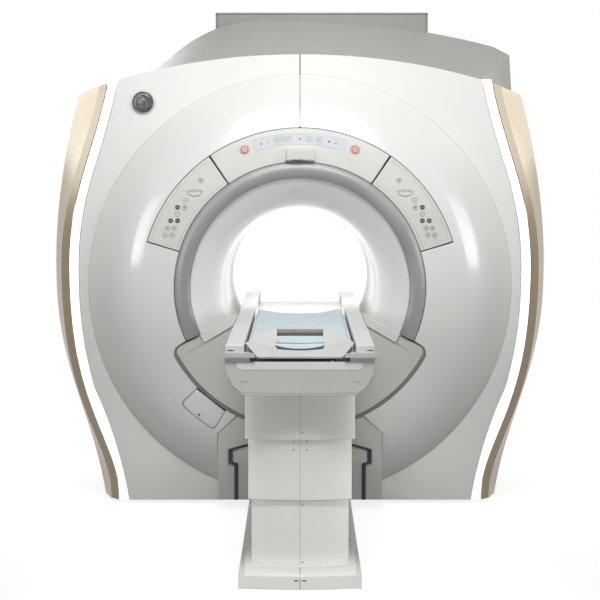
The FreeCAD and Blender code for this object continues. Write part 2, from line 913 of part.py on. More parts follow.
def stop_button(label, side):
    """Round push button that slides straight into the fascia."""
    piece = body(label, x=f"{signed(side)}stop_across", z="iso_height + stop_up")
    disc = circles(piece, "XZ_Plane", [("0", "0", "stop_radius")], "stop_front")
    pad(piece, disc, "stop_back - stop_front")
    round_edges(piece, "stop_edge", lambda middle, along: middle.y < size("stop_front") + 0.01)


def bore_parts():
    """Grey ring round the mouth, white funnel and the tube that the patient lies in."""
    ring = [("ring_back", "ring_inner"), ("ring_edge_front", "ring_inner"),
            ("ring_edge_front", "ring_outer", "ring_front", "(ring_inner + ring_outer) / 2"),
            ("ring_back", "ring_outer")]
    turned_piece("bore_ring", ring, "ring_sweep", both_ways=True)
    funnel = [("funnel_front", "funnel_mouth"),
              ("funnel_end", "bore_radius", "funnel_mid_depth", "funnel_mid_radius"),
              ("funnel_end", "bore_radius + tube_wall"),
              ("funnel_front", "funnel_mouth + tube_wall",
               "funnel_mid_depth", "funnel_mid_radius + tube_wall")]
    turned_piece("bore_funnel", funnel)
    turned_piece("bore_tube", box("funnel_end", "bore_radius", "tube_end", "bore_radius + tube_wall"))


# ---------------------------------------------------------------- sides, roof, turret and rear

def side_loft(label, side, section, levels):
    """A shell down one side, lofted through a plan section at each level."""
    piece = body(label)
    sketches = []
    for level in levels:
        points = [(f"{signed(side)}({across})", depth) for across, depth in section(level)]
        sketches.append(outline(piece, "XY_Plane", points, f"level_{level}"))
    loft(piece, sketches)
    return piece


def strip_section(level):
    """Section of the light strip; its inner part is trimmed along the front cover's edge."""
    near = f"edge_{level} - strip_overlap"
    far = f"edge_{level} + strip_width"
    return box(near, "rim_depth", far, "rim_depth + strip_thickness")


def panel_section(level):
    """Narrow front facet, wide outer facet and the return behind the widest line."""
    front = f"edge_{level} + strip_width + strip_gap"
    fold = f"{front} + facet_width"
    wide = f"side_{level}"
    back = f"side_{level} - side_tuck"
    return [(front, "rim_depth"), (fold, "facet_depth"), (wide, "side_depth"), (back, "side_back"),
            (f"{back} - shell_wall", "side_back"), (f"{wide} - shell_wall", "side_depth + shell_wall / 2"),
            (f"{fold} - shell_wall / 2", "facet_depth + shell_wall"), (front, "rim_depth + shell_wall")]


def magnet_section(level):
    front = f"side_{level} - magnet_tuck"
    back = f"side_{level} - magnet_rear_tuck"
    return [(front, "side_back + seam_gap"), (back, "magnet_back"),
            (f"{back} - shell_wall", "magnet_back"), (f"{front} - shell_wall", "side_back + seam_gap")]


def sides(name, side):
    """Light strip, two-facet panel and magnet cover of one side."""
    sign = signed(side)
    strip = side_loft(f"light_strip_{name}", side, strip_section, LEVELS)
    beside = [("0", "cut_reach * 2"), (f"{sign}(edge_nine + strip_gap)", "cut_reach * 2"),
              (f"{sign}(edge_nine + strip_gap)", "level_nine")]
    for across, up, *via in side_line(side, "edge", "0 - strip_gap", 8):
        through = (via[0], f"{via[1]} + iso_height") if via else ()
        beside.append((across, f"{up} + iso_height") + through)
    beside += [(beside[-1][0], "0"), ("0", "0")]
    cut(strip, outline(strip, "XZ_Plane", beside))
    panel = side_loft(f"side_panel_{name}", side, panel_section, LEVELS)
    slope = [(f"{sign}edge_nine", "level_nine"),
             (f"{sign}(edge_nine + side_top_run)", "level_nine - side_top_drop"),
             (f"{sign}(edge_nine + side_top_run)", "level_nine + side_top_drop"),
             (f"{sign}edge_nine", "level_nine + side_top_drop")]
    cut(panel, outline(panel, "XZ_Plane", slope), "cut_reach * 2")
    cover = side_loft(f"magnet_cover_{name}", side, magnet_section, LEVELS)
    above = box(f"{sign}edge_one", "magnet_top", f"{sign}cut_reach", "top_middle")
    cut(cover, outline(cover, "XZ_Plane", above), "cut_reach * 4")


def roof_line(inset):
    """Section of the roof from its left foot over the crest to its right foot."""
    return [(f"{inset} - roof_left_foot", "roof_foot_height"),
            (f"{inset} - roof_left_knee", f"roof_knee_height - {inset}"),
            (f"{inset} / 2 - roof_left_shoulder", f"roof_shoulder_height - {inset}"),
            ("-roof_crest", f"roof_crest_height - {inset}",
             f"{inset} / 2 - roof_left_via", f"roof_left_via_height - {inset}"),
            (f"roof_right_shoulder - {inset} / 2", f"roof_right_shoulder_height - {inset}",
             "roof_right_via", f"roof_right_via_height - {inset}"),
            (f"roof_right_knee - {inset}", f"roof_right_knee_height - {inset} / 2"),
            (f"roof_right_foot - {inset}", "roof_foot_height")]


def brow_line(inset):
    """The roof's section where it starts, just behind and below the front cover's top edge."""
    return [(f"{inset} - brow_foot", "brow_foot_height"),
            (f"{inset} - brow_knee", f"brow_knee_height - {inset}"),
            ("-roof_left_shoulder", f"brow_left_shoulder_height - {inset}"),
            ("-roof_crest", f"brow_crest_height - {inset}", "-roof_left_via", f"brow_via_height - {inset}"),
            ("brow_right_shoulder", f"brow_right_shoulder_height - {inset}",
             "roof_right_via", f"brow_via_height - {inset}"),
            (f"brow_knee - {inset}", f"brow_knee_height - {inset}"),
            (f"brow_foot - {inset}", "brow_foot_height")]


def closed_band(outer, inner):
    """A thin closed band from an outer line and the matching inner line."""
    points = list(outer)
    points.append(inner[-1][:2])
    for later, earlier in zip(inner[:0:-1], inner[-2::-1]):
        points.append(earlier[:2] + later[2:])
    return points


def top_cover():
    """Grey roof that sweeps up and back from the front cover, with a hole for the turret."""
    piece = body("top_cover")
    brow = closed_band(brow_line("0"), brow_line("roof_wall"))
    crest = closed_band(roof_line("0"), roof_line("roof_wall"))
    stations = ((brow, "roof_front"), (crest, "roof_brow"), (crest, "roof_back"))
    loft(piece, [outline(piece, "XZ_Plane", line, depth) for line, depth in stations], ruled=True)
    half = "(turret_width / 2 + seam_gap)"
    hole = box(f"turret_centre - {half}", "turret_front - seam_gap",
               f"turret_centre + {half}", "turret_back + seam_gap")
    cut(piece, outline(piece, "XY_Plane", hole, "turret_base"))


def turret():
    """Service turret: four walls and a thin lid that closes them."""
    plan = box("turret_centre - turret_width / 2", "turret_front",
               "turret_centre + turret_width / 2", "turret_back")
    walls = upright("turret_cover", plan, "turret_base", "turret_top", "turret_corner")
    inside = box("turret_centre - turret_width / 2 + turret_wall", "turret_front + turret_wall",
                 "turret_centre + turret_width / 2 - turret_wall", "turret_back - turret_wall")
    cut(walls, outline(walls, "XY_Plane", inside, "turret_base"))
    upright("turret_lid", plan, "turret_top", "turret_top + lid_thickness", "turret_corner")


def rear_outline():
    """Outline of the rear plate: under the roof's line, then down both barrel-shaped sides."""
    shift = "magnet_rear_tuck + rear_inset"
    right = [(f"side_eight - ({shift})", "level_eight - iso_height")] + side_line(1, "side", shift, 7)
    points = []
    for across, up, *via in roof_line("rear_inset"):
        through = (via[0], f"{via[1]} - iso_height") if via else ()
        points.append((across, f"{up} - iso_height") + through)
    points += right
    points.append((f"-({right[-1][0]})", right[-1][1]))
    for later, earlier in zip(right[:0:-1], right[-2::-1]):
        through = (f"-({later[2]})", later[3]) if len(later) == 4 else ()
        points.append((f"-({earlier[0]})", earlier[1]) + through)
    return points


def rear_cover():
    """Rear plate and the flare at the magnet's far end, in one moulding."""
    piece = body("rear_cover", z="iso_height")
    pad(piece, outline(piece, "XZ_Plane", rear_outline(), "rear_face - shell_wall"), "shell_wall")
    cut(piece, circles(piece, "XZ_Plane", [("0", "0", "collar_radius - shell_wall")], "rear_face"))
    flare = [("tube_end + seam_gap", "bore_radius"),
             ("rear_end", "flare_radius", "flare_mid_depth", "flare_mid_radius"),
             ("rear_face", "collar_radius"), ("rear_face - shell_wall", "collar_radius"),
             ("rear_face - shell_wall", "collar_radius - shell_wall"),
             ("rear_end - shell_wall * 2", "flare_radius + shell_wall / 2"),
             ("tube_end + seam_gap", "bore_radius + shell_wall",
              "flare_mid_depth - shell_wall / 2", "flare_mid_radius + shell_wall")]
    turned(piece, outline(piece, "YZ_Plane", flare))


# ---------------------------------------------------------------- magnet

def hollow_ring(label, front, bore, back, outer, wall):
    """A closed ring-shaped tank."""
    piece = body(label, z="iso_height")
    sketch = outline(piece, "YZ_Plane", box(front, bore, back, outer))
    inside = box(f"{front} + {wall}", f"{bore} + {wall}", f"{back} - {wall}", f"{outer} - {wall}")
    add_outline(sketch, inside)
    turned(piece, sketch)


def magnet_coils():
    """Four main windings near the bore and two shield windings outside them."""
    piece = body("magnet_coils", z="iso_height")
    sketch = blank_sketch(piece, "YZ_Plane", "0")
    rows = ((-1.5, "winding_bore", "winding_height"), (-0.5, "winding_bore", "winding_height"),
            (0.5, "winding_bore", "winding_height"), (1.5, "winding_bore", "winding_height"),
            (-1.3, "shield_bore", "shield_height"), (1.3, "shield_bore", "shield_height"))
    for step, bore, height in rows:
        front = f"(vessel_front + vessel_back - winding_width) / 2 + {step} * winding_pitch"
        add_outline(sketch, box(front, bore, f"{front} + winding_width", f"{bore} + {height}"))
    turned(piece, sketch)


def magnet_saddle():
    """Two saddles that carry the magnet on the floor."""
    piece = body("magnet_saddle")
    sketch = blank_sketch(piece, "XY_Plane", "0")
    for front in ("saddle_front", "saddle_rear"):
        plan = box("-saddle_half_width", front, "saddle_half_width", f"{front} + saddle_thickness")
        add_outline(sketch, plan)
    pad(piece, sketch, "saddle_top")
    cut(piece, circles(piece, "XZ_Plane", [("0", "iso_height", "vessel_radius")]), "cut_reach * 4")


def cold_head():
    """Refrigerator that stands on the magnet, inside the turret."""
    piece = body("cold_head", x="turret_centre", y="cold_head_depth")
    neck = circles(piece, "XY_Plane", [("0", "0", "cold_head_radius")], "cold_head_root")
    pad(piece, neck, "cold_head_top - cold_head_root")
    flange = circles(piece, "XY_Plane", [("0", "0", "cold_head_flange")], "cold_head_root")
    pad(piece, flange, "cold_head_flange_height - cold_head_root")
    cut(piece, circles(piece, "XZ_Plane", [("-turret_centre", "iso_height", "vessel_radius")]))


def magnet():
    hollow_ring("vacuum_vessel", "vessel_front", "vessel_bore",
                "vessel_back", "vessel_radius", "vessel_wall")
    hollow_ring("helium_vessel", "vessel_front + helium_inset", "helium_bore",
                "vessel_back - helium_inset", "helium_outer", "helium_wall")
    magnet_coils()
    turned_piece("gradient_coil", box("gradient_front", "gradient_bore", "gradient_back", "gradient_outer"))
    turned_piece("body_coil", box("body_coil_front", "body_coil_bore", "body_coil_back", "body_coil_outer"))
    cold_head()
    magnet_saddle()


def bore_bridge():
    """Rails and deck inside the bore, in line with the table top."""
    right = [("rail_inner", "bridge_deck"), ("rail_inner", "rail_top"), ("rail_outer", "rail_top"),
             ("rail_outer", "bridge_low"), ("rail_outer - bridge_leg", "bridge_low"),
             ("rail_outer - bridge_leg", "bridge_deck - bridge_deck_wall")]
    left = [(f"-({across})", up) for across, up in reversed(right)]
    lengthwise("bore_bridge", right + left, "bridge_front", "bridge_back")


# ---------------------------------------------------------------- kick panel and dock seal

def kick_outline(inset):
    """Front outline of the kick panel: straight sides that lean in to a neck under the cowl."""
    reach = f"(cowl_radius + gasket_width + seam_gap + {inset})"
    half = f"(kick_half - {inset})"
    neck = f"(kick_neck_half - {inset})"
    meet = f"iso_height - sqrt({reach}^2 - {neck}^2)"
    low = f"kick_bottom - {inset}"
    return [(f"-{half}", low), (half, low), (half, "kick_shoulder"), (neck, meet),
            (f"-{neck}", meet, "0", f"iso_height - {reach}"), (f"-{half}", "kick_shoulder")]


def kick_panel():
    """Box-shaped panel below the cowl, open at the back and below."""
    piece = body("kick_panel")
    pad(piece, outline(piece, "XZ_Plane", kick_outline("0"), "kick_front"), "kick_back - kick_front")
    cut_between(piece, "XZ_Plane", kick_outline("kick_wall"), "kick_front + kick_wall", "cut_reach")


def dock_outline(bottom, low, high, thin):
    """Stepped outline of the dock: narrow legs, wider shoulders and a low arch."""
    shoulder = f"dock_half_high + {high}"
    leg = f"dock_half_low + {low}"
    step = f"dock_step - {thin}"
    return [(f"-({leg})", bottom), (leg, bottom), (leg, step), (shoulder, f"{step} + dock_ledge"),
            (shoulder, f"dock_shoulder + {thin}"),
            (f"-({shoulder})", f"dock_shoulder + {thin}", "0", f"dock_top + {thin}"),
            (f"-({shoulder})", f"{step} + dock_ledge"), (f"-({leg})", step)]


def dock_seal():
    """Black seal on the kick panel that frames the docked table base, open at the floor."""
    piece = body("dock_seal")
    around = dock_outline("kick_bottom", "seal_low", "seal_high", "seal_thin")
    pad(piece, outline(piece, "XZ_Plane", around, "seal_front"), "kick_front - seal_front")
    cut(piece, outline(piece, "XZ_Plane", dock_outline("kick_bottom - seal_thin", "0", "0", "0")))


# ---------------------------------------------------------------- table top

def side_rail(name, side):
    """Flat-topped rail with a web down to the housing; the web starts behind the end block."""
    sign = signed(side)
    section = box(f"{sign}rail_inner", "rail_low", f"{sign}rail_outer", "rail_top")
    piece = lengthwise(f"side_rail_{name}", section, "table_near", "table_far")
    top = size("rail_top") - 1
    inside = size("rail_inner") + 1
    round_edges(piece, "rail_corner", lambda middle, along: middle.z > top and abs(middle.x) > inside)
    web = box(f"{sign}rail_web", "rail_web_low", f"{sign}rail_outer", "rail_low")
    pad(piece, outline(piece, "XZ_Plane", web, "rail_web_near"), "housing_far - rail_web_near")


def end_block(name, side):
    """Block across the rail's near end, with a foot behind its face that stands on the housing."""
    sign = signed(side)
    piece = lengthwise(f"end_block_{name}",
                       box(f"{sign}block_inner", "block_low", f"{sign}block_outer", "rail_low"),
                       "block_near", "block_far")
    foot = box(f"{sign}(port_half + block_foot_gap)", "housing_top", f"{sign}housing_half", "rail_low")
    pad(piece, outline(piece, "XZ_Plane", foot, "block_far"), "block_foot_far - block_far")


def trough_outline(inset, lift):
    """Rounded underside of the table housing."""
    half = f"(housing_half - {inset})"
    waist = f"(housing_waist - {inset})"
    foot = f"(housing_foot - {inset} / 2)"
    top = f"housing_top + {lift}"
    bottom = f"housing_bottom + {inset}"
    return [(f"-{half}", top), (f"-{foot}", bottom, f"-{waist}", "housing_waist_height"), (foot, bottom),
            (half, top, waist, "housing_waist_height")]


def table_housing():
    """Long trough under the cradle, closed at both ends."""
    piece = lengthwise("table_housing", trough_outline("0", "0"), "housing_near", "housing_far")
    cut_between(piece, "XZ_Plane", trough_outline("housing_wall", "1"),
                "housing_near + housing_wall", "housing_far - housing_wall")


def coil_port_panel():
    """Black connector panel under the cradle's end, with a wide flat socket."""
    piece = lengthwise("coil_port_panel", box("-port_half", "port_low", "port_half", "port_top"),
                       "port_front", "port_back")
    low = "(port_low + port_top - port_mouth_height) / 2"
    mouth = box("-port_mouth", low, "port_mouth", f"{low} + port_mouth_height")
    cut_between(piece, "XZ_Plane", mouth, "port_front - port_mouth_depth", "port_front + port_mouth_depth")


def pulley(label, depth):
    """Drive pulley with its axle, across the housing."""
    piece = body(label, y=depth, z="pulley_height")
    pad(piece, circles(piece, "YZ_Plane", [("0", "0", "pulley_radius")], "-pulley_half_width"),
        "pulley_half_width * 2")
    pad(piece, circles(piece, "YZ_Plane", [("0", "0", "axle_radius")], "-axle_half"), "axle_half * 2")


def belt_loop(radius):
    """Two straight runs and two half rounds about the pulleys."""
    near = "pulley_depth"
    far = "idler_depth"
    top = f"pulley_height + {radius}"
    bottom = f"pulley_height - {radius}"
    return [(far, top), (far, bottom, f"{far} + {radius}", "pulley_height"), (near, bottom),
            (near, top, f"{near} - {radius}", "pulley_height")]


def drive_belt():
    piece = body("drive_belt")
    sketch = outline(piece, "YZ_Plane", belt_loop("(pulley_radius + belt_gap + belt_thickness)"),
                     "-belt_half_width")
    add_outline(sketch, belt_loop("(pulley_radius + belt_gap)"))
    pad(piece, sketch, "belt_half_width * 2")


def cradle():
    """Shallow dished board that carries the patient."""
    points = [("-cradle_half", "cradle_edge"), ("-cradle_half", "cradle_chine_height"),
              ("-cradle_chine", "cradle_low"), ("cradle_chine", "cradle_low"),
              ("cradle_half", "cradle_chine_height"), ("cradle_half", "cradle_edge"),
              ("-cradle_half", "cradle_edge", "0", "cradle_middle")]
    lengthwise("cradle", points[1:], "cradle_near", "cradle_far")


def mattress():
    """Pad with raised, drawn-in sides and a dished middle; its near end thins under the end cap."""
    points = [("-mattress_half", "mattress_root"), ("-mattress_half", "mattress_side"),
              ("-mattress_crown_half", "mattress_crown"),
              ("mattress_crown_half", "mattress_crown", "0", "mattress_middle"),
              ("mattress_half", "mattress_side"), ("mattress_half", "mattress_root"),
              ("-mattress_half", "mattress_root", "0", "mattress_root_middle")]
    piece = lengthwise("mattress", points[1:], "mattress_near", "mattress_far")
    slope = [("mattress_near - 1", "mattress_slope_low"),
             ("mattress_near + mattress_slope_run", "mattress_slope_high"),
             ("mattress_near - 1", "mattress_slope_high")]
    cut(piece, outline(piece, "YZ_Plane", slope), "mattress_half * 3")


def cap_frame(label):
    """A piece in the tilted frame of the cradle's end cap."""
    return body(label, y="cap_near", z="cap_height", axis=(1, 0, 0), angle="cap_tilt")


def cradle_end_cap():
    """Sloping shield at the cradle's end, with the hand opening under the handle."""
    piece = cap_frame("cradle_end_cap")
    shield = [("-cap_low_half", "0"), ("cap_low_half", "0"), ("cap_wide_half", "cap_wide_at"),
              ("cap_top_half", "cap_length"), ("-cap_top_half", "cap_length"),
              ("-cap_wide_half", "cap_wide_at")]
    pad(piece, outline(piece, "XY_Plane", shield, "-cap_thickness"), "cap_thickness")
    opening = [("-cap_opening_half", "cap_opening_low"),
               ("cap_opening_half", "cap_opening_low", "0", "cap_opening_dip"),
               ("cap_opening_half", "cap_length + 1"), ("-cap_opening_half", "cap_length + 1")]
    cut(piece, outline(piece, "XY_Plane", opening))


def cradle_handle():
    """Bar across the top of the hand opening."""
    piece = cap_frame("cradle_handle")
    bar = circles(piece, "YZ_Plane", [("handle_at", "-handle_drop", "handle_radius")], "-cap_opening_half")
    pad(piece, bar, "cap_opening_half * 2")


# ---------------------------------------------------------------- pedestal, base and lift

def bowed_plan(inset):
    """Plan of a pedestal cover: bowed front, straight sides and back."""
    half = f"(upper_half - {inset})"
    near = f"pedestal_near + {inset}"
    far = f"pedestal_far - {inset}"
    return [(f"-{half}", far), (f"-{half}", f"{near} + bow"), (half, f"{near} + bow", "0", near), (half, far)]


def pedestal_cover(label, nest, low, high):
    """One sleeve of the telescoping pedestal."""
    inset = f"nest_step * {nest}"
    piece = upright(label, bowed_plan(inset), low, high)
    cut(piece, outline(piece, "XY_Plane", bowed_plan(f"({inset} + sheet_wall)"), low), "cut_reach * 2")


def table_base():
    """Low deck with a bowed front, a plinth for the pedestal and a raised part back to the dock."""
    piece = body("table_base")
    deck = [("-wing_low_half", "base_far"), ("-wing_low_half", "wing_near"), ("-base_half", "base_shoulder"),
            ("base_half", "base_shoulder", "0", "base_near"), ("wing_low_half", "wing_near"),
            ("wing_low_half", "base_far")]
    pad(piece, outline(piece, "XY_Plane", deck), "deck_height")
    plinth = [("-plinth_half", "plinth_far"), ("-plinth_half", "plinth_shoulder"),
              ("plinth_half", "plinth_shoulder", "0", "plinth_near"), ("plinth_half", "plinth_far")]
    pad(piece, outline(piece, "XY_Plane", plinth, "deck_height"), "lower_low - deck_height")
    low = box("-wing_low_half", "wing_near", "wing_low_half", "base_far")
    high = box("-wing_top_half", "wing_top_near", "wing_top_half", "base_far")
    loft(piece, [outline(piece, "XY_Plane", low, "deck_height"),
                 outline(piece, "XY_Plane", high, "wing_top")])
    hollow = box("-wing_hollow_half", "wing_hollow_near", "wing_hollow_half", "wing_hollow_far")
    cut(piece, outline(piece, "XY_Plane", hollow), "wing_hollow_top * 2")


def ring_upright(label, outer, bore, low, high):
    """A plain upright tube on the lift's axis."""
    piece = body(label, y="column_depth")
    pad(piece, circles(piece, "XY_Plane", [("0", "0", outer), ("0", "0", bore)], low), f"({high}) - ({low})")


def lift():
    """Column on the base, ram on the table top, and the screw and nut that move it."""
    ring_upright("lift_column", "column_outer", "column_bore", "lower_low", "column_top")
    ring_upright("lift_ram", "ram_radius", "ram_bore", "ram_low", "housing_bottom")
    ring_upright("lift_nut", "ram_bore", "screw_radius + screw_fit", "ram_low", "ram_low + nut_height")
    screw = body("lift_screw", y="column_depth")
    pad(screw, circles(screw, "XY_Plane", [("0", "0", "screw_radius")], "screw_low"), "screw_top - screw_low")


# ---------------------------------------------------------------- the whole machine

def build():
    for name, side in (("left", -1), ("right", 1)):
        front_cover(f"front_cover_{name}", side)
        sides(name, side)
        keypad(f"fascia_{name}", side)
        stop_button(f"stop_button_{name}", side)
        cowl_lip(f"cowl_lip_{name}", side)
        side_rail(name, side)
        end_block(name, side)
    fascia_centre()
    status_display()
    alignment_light()
    bore_parts()
    lower_cowl()
    cowl_gasket()
    access_hatch()
    hatch_latch()
    badge()
    top_cover()
    turret()
    rear_cover()
    magnet()
    bore_bridge()
    kick_panel()
    dock_seal()
    table_base()
    pedestal_cover("lower_column_cover", 2, "lower_low", "lower_top")
    pedestal_cover("middle_column_cover", 1, "middle_low", "middle_top")
    pedestal_cover("upper_column_cover", 0, "upper_low", "upper_top")
    lift()
    table_housing()
    coil_port_panel()
    pulley("drive_pulley", "pulley_depth")
    pulley("idler_pulley", "idler_depth")
    drive_belt()
    cradle()
    mattress()
    cradle_end_cap()
    cradle_handle()


def check_and_export():
    """Stop on any failed feature or bad solid, then write one file a piece."""
    doc.recompute()
    for item in doc.Objects:
        if {"Invalid", "Error"} & set(item.State):
            raise RuntimeError(f"{item.Name} ({item.Label}) failed: {item.State}")
    for piece in made:
        if piece.Shape.isNull() or not piece.Shape.isValid() or not piece.Shape.Solids:
            raise RuntimeError(f"{piece.Label} has no valid solid")
    os.makedirs("parts", exist_ok=True)
    for piece in made:
        piece.Shape.exportStep(f"parts/{piece.Label}.step")
    print(f"{len(made)} pieces written")


sheet = make_sheet()
build()
check_and_export()
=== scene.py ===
import math

import bmesh
import bpy
from mathutils import Matrix, Vector, noise


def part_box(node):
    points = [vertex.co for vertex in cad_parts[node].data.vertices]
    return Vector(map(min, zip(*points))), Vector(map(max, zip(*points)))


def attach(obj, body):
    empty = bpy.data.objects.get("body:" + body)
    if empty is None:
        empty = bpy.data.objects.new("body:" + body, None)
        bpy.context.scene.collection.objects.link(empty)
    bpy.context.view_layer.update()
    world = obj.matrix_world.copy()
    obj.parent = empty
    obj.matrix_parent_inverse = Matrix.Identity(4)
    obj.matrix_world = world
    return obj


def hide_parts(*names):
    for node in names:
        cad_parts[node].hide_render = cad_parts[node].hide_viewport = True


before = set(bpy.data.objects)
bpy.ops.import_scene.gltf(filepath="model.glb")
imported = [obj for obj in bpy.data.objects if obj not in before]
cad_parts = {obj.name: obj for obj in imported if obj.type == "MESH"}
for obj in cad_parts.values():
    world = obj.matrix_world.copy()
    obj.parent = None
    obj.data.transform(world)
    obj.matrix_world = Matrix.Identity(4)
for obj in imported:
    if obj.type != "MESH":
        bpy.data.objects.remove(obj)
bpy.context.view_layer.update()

scene = bpy.context.scene


# ---------------------------------------------------------------- magnet
# Stainless vacuum vessel with the helium vessel, windings, gradient and body coils nested in it.
# Rolled plate with welded end rings, resin-cast coils, a machined cold head on top, and an
# iron saddle below that carries the weight. All of it is behind the covers.

def paint(red, green, blue):
    """A display colour, 0 to 255, as the shader's linear one."""
    return tuple((c / 255 / 12.92 if c <= 10 else ((c / 255 + 0.055) / 1.055) ** 2.4)
                 for c in (red, green, blue)) + (1.0,)


def add(tree, kind, inputs=None, **settings):
    """One shader node, with its settings and the values or links that go into it."""
    node = tree.nodes.new("ShaderNode" + kind)
    for key, value in settings.items():
        setattr(node, key, value)
    for key, value in (inputs or {}).items():
        if isinstance(value, bpy.types.NodeSocket):
            tree.links.new(value, node.inputs[key])
        else:
            node.inputs[key].default_value = value
    return node


def blend(tree, share, first, second, **settings):
    """Output of a colour mix, from the first colour to the second as the share rises."""
    return add(tree, "Mix", {0: share, 6: first, 7: second}, data_type="RGBA", **settings).outputs[2]


def span(tree, value, low, high, start=0.0, end=1.0):
    """Output of a range remap: low and high become start and end."""
    return add(tree, "MapRange", {"Value": value, "From Min": low, "From Max": high,
                                  "To Min": start, "To Max": end}).outputs[0]


def reckon(tree, operation, *values):
    """Output of a sum on numbers or links."""
    return add(tree, "Math", dict(enumerate(values)), operation=operation).outputs[0]


def skin_group(name, inputs):
    """An empty group for a surface skin: its own inputs, then colour, roughness and height out."""
    tree = bpy.data.node_groups.new(name, "ShaderNodeTree")
    for label, kind, value in inputs:
        socket = tree.interface.new_socket(label, in_out="INPUT", socket_type="NodeSocket" + kind)
        socket.default_value = value
    for label, kind in (("Colour", "Color"), ("Roughness", "Float"), ("Height", "Float")):
        tree.interface.new_socket(label, in_out="OUTPUT", socket_type="NodeSocket" + kind)
    return tree, tree.nodes.new("NodeGroupInput").outputs, tree.nodes.new("NodeGroupOutput").inputs


def deliver(tree, given, out, tone, grain, height):
    """Ends a skin group with its colour, a roughness that swings with the grain, and its height."""
    swing = span(tree, grain, 0.0, 1.0, -1.0, 1.0)
    gloss = reckon(tree, "MULTIPLY_ADD", swing, given["Spread"], given["Roughness"])
    for label, value in (("Colour", tone), ("Roughness", gloss), ("Height", height)):
        tree.links.new(value, out[label])
    return tree


GREY = (0.5, 0.5, 0.5, 1.0)


def moulded_skin():
    """Painted or moulded surface: soft clouds of a second shade, and an even grain."""
    tree, given, out = skin_group("moulded_skin", (
        ("Colour", "Color", GREY), ("Shade", "Color", GREY), ("Cloud Scale", "Float", 2.0),
        ("Grain Scale", "Float", 900.0), ("Roughness", "Float", 0.4), ("Spread", "Float", 0.05)))
    place = add(tree, "TexCoord").outputs["Object"]
    cloud = add(tree, "TexNoise", {"Vector": place, "Scale": given["Cloud Scale"], "Detail": 3.0})
    tone = blend(tree, span(tree, cloud.outputs["Fac"], 0.36, 0.64), given["Colour"], given["Shade"])
    grain = add(tree, "TexNoise", {"Vector": place, "Scale": given["Grain Scale"], "Detail": 2.0})
    return deliver(tree, given, out, tone, grain.outputs["Fac"], grain.outputs["Fac"])


def brushed_skin():
    """Rolled or brushed metal: fine streaks stretched along one direction, and slow stains."""
    tree, given, out = skin_group("brushed_skin", (
        ("Colour", "Color", GREY), ("Shade", "Color", GREY), ("Streaks", "Vector", (3.0, 400.0, 3.0)),
        ("Stain Scale", "Float", 3.0), ("Roughness", "Float", 0.35), ("Spread", "Float", 0.08)))
    place = add(tree, "TexCoord").outputs["Object"]
    drawn = add(tree, "VectorMath", {0: place, 1: given["Streaks"]}, operation="MULTIPLY")
    streak = add(tree, "TexNoise", {"Vector": drawn.outputs[0], "Scale": 1.0, "Detail": 4.0}).outputs["Fac"]
    stain = add(tree, "TexNoise", {"Vector": place, "Scale": given["Stain Scale"], "Detail": 3.0})
    both = reckon(tree, "MULTIPLY", streak, stain.outputs["Fac"])
    tone = blend(tree, span(tree, both, 0.12, 0.4), given["Shade"], given["Colour"])
    return deliver(tree, given, out, tone, streak, streak)


MOULDED = moulded_skin()
BRUSHED = brushed_skin()


def finish(name, skin, bump, relief, shader, edge=0.0, **values):
    """A material in which a skin group drives colour, roughness and bump of one shader.

    The colours are display ones, 0 to 255. Where an edge radius is given, light runs over
    the piece's edges as over rounded ones.
    """
    made = bpy.data.materials.new(name)
    made.use_nodes = True
    tree = made.node_tree
    face = tree.nodes["Principled BSDF"]
    worn = add(tree, "Group", node_tree=skin)
    for key, value in values.items():
        socket = worn.inputs[key.replace("_", " ").title()]
        socket.default_value = paint(*value) if key in ("colour", "shade") else value
    rough = add(tree, "Bump", {"Strength": bump, "Distance": relief, "Height": worn.outputs["Height"]})
    if edge:
        eased = add(tree, "Bevel", {"Radius": edge}, samples=4)
        tree.links.new(eased.outputs["Normal"], rough.inputs["Normal"])
    tree.links.new(worn.outputs["Colour"], face.inputs["Base Color"])
    tree.links.new(worn.outputs["Roughness"], face.inputs["Roughness"])
    tree.links.new(rough.outputs["Normal"], face.inputs["Normal"])
    for key, value in shader.items():
        face.inputs[key].default_value = value
    return made


def dress(made, *names):
    """Gives solids of the frame their finish."""
    for name in names:
        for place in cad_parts[name].material_slots:
            place.material = made


steel = finish("rolled_steel", BRUSHED, 0.2, 0.0005, {"Metallic": 1.0}, colour=(196, 198, 200),
               shade=(158, 161, 165), roughness=0.34)
dress(steel, "vacuum_vessel", "helium_vessel")
copper = finish("wound_copper", BRUSHED, 0.6, 0.001, {"Metallic": 1.0}, colour=(196, 122, 82),
                shade=(150, 84, 54), streaks=(2.0, 260.0, 2.0), roughness=0.38)
dress(copper, "magnet_coils")
resin = finish("cast_resin", MOULDED, 0.25, 0.001, {"Coat Weight": 0.3}, colour=(168, 138, 86),
               shade=(142, 112, 66), cloud_scale=7.0, grain_scale=240.0, roughness=0.36)
dress(resin, "gradient_coil", "body_coil")
alloy = finish("turned_alloy", BRUSHED, 0.25, 0.0004, {"Metallic": 1.0}, colour=(208, 208, 206),
               shade=(172, 173, 174), streaks=(4.0, 4.0, 700.0), roughness=0.3)
dress(alloy, "cold_head", "drive_pulley", "idler_pulley")
iron = finish("painted_iron", MOULDED, 0.4, 0.0015, {}, colour=(92, 96, 100),
              shade=(74, 78, 83), cloud_scale=5.0, grain_scale=160.0, roughness=0.55)
dress(iron, "magnet_saddle")


# ---------------------------------------------------------------- bore
# White liner tube and the wide funnel that leads into it, in gel-coated laminate, lit softly
# from inside. A flat bridge along its floor carries the cradle.

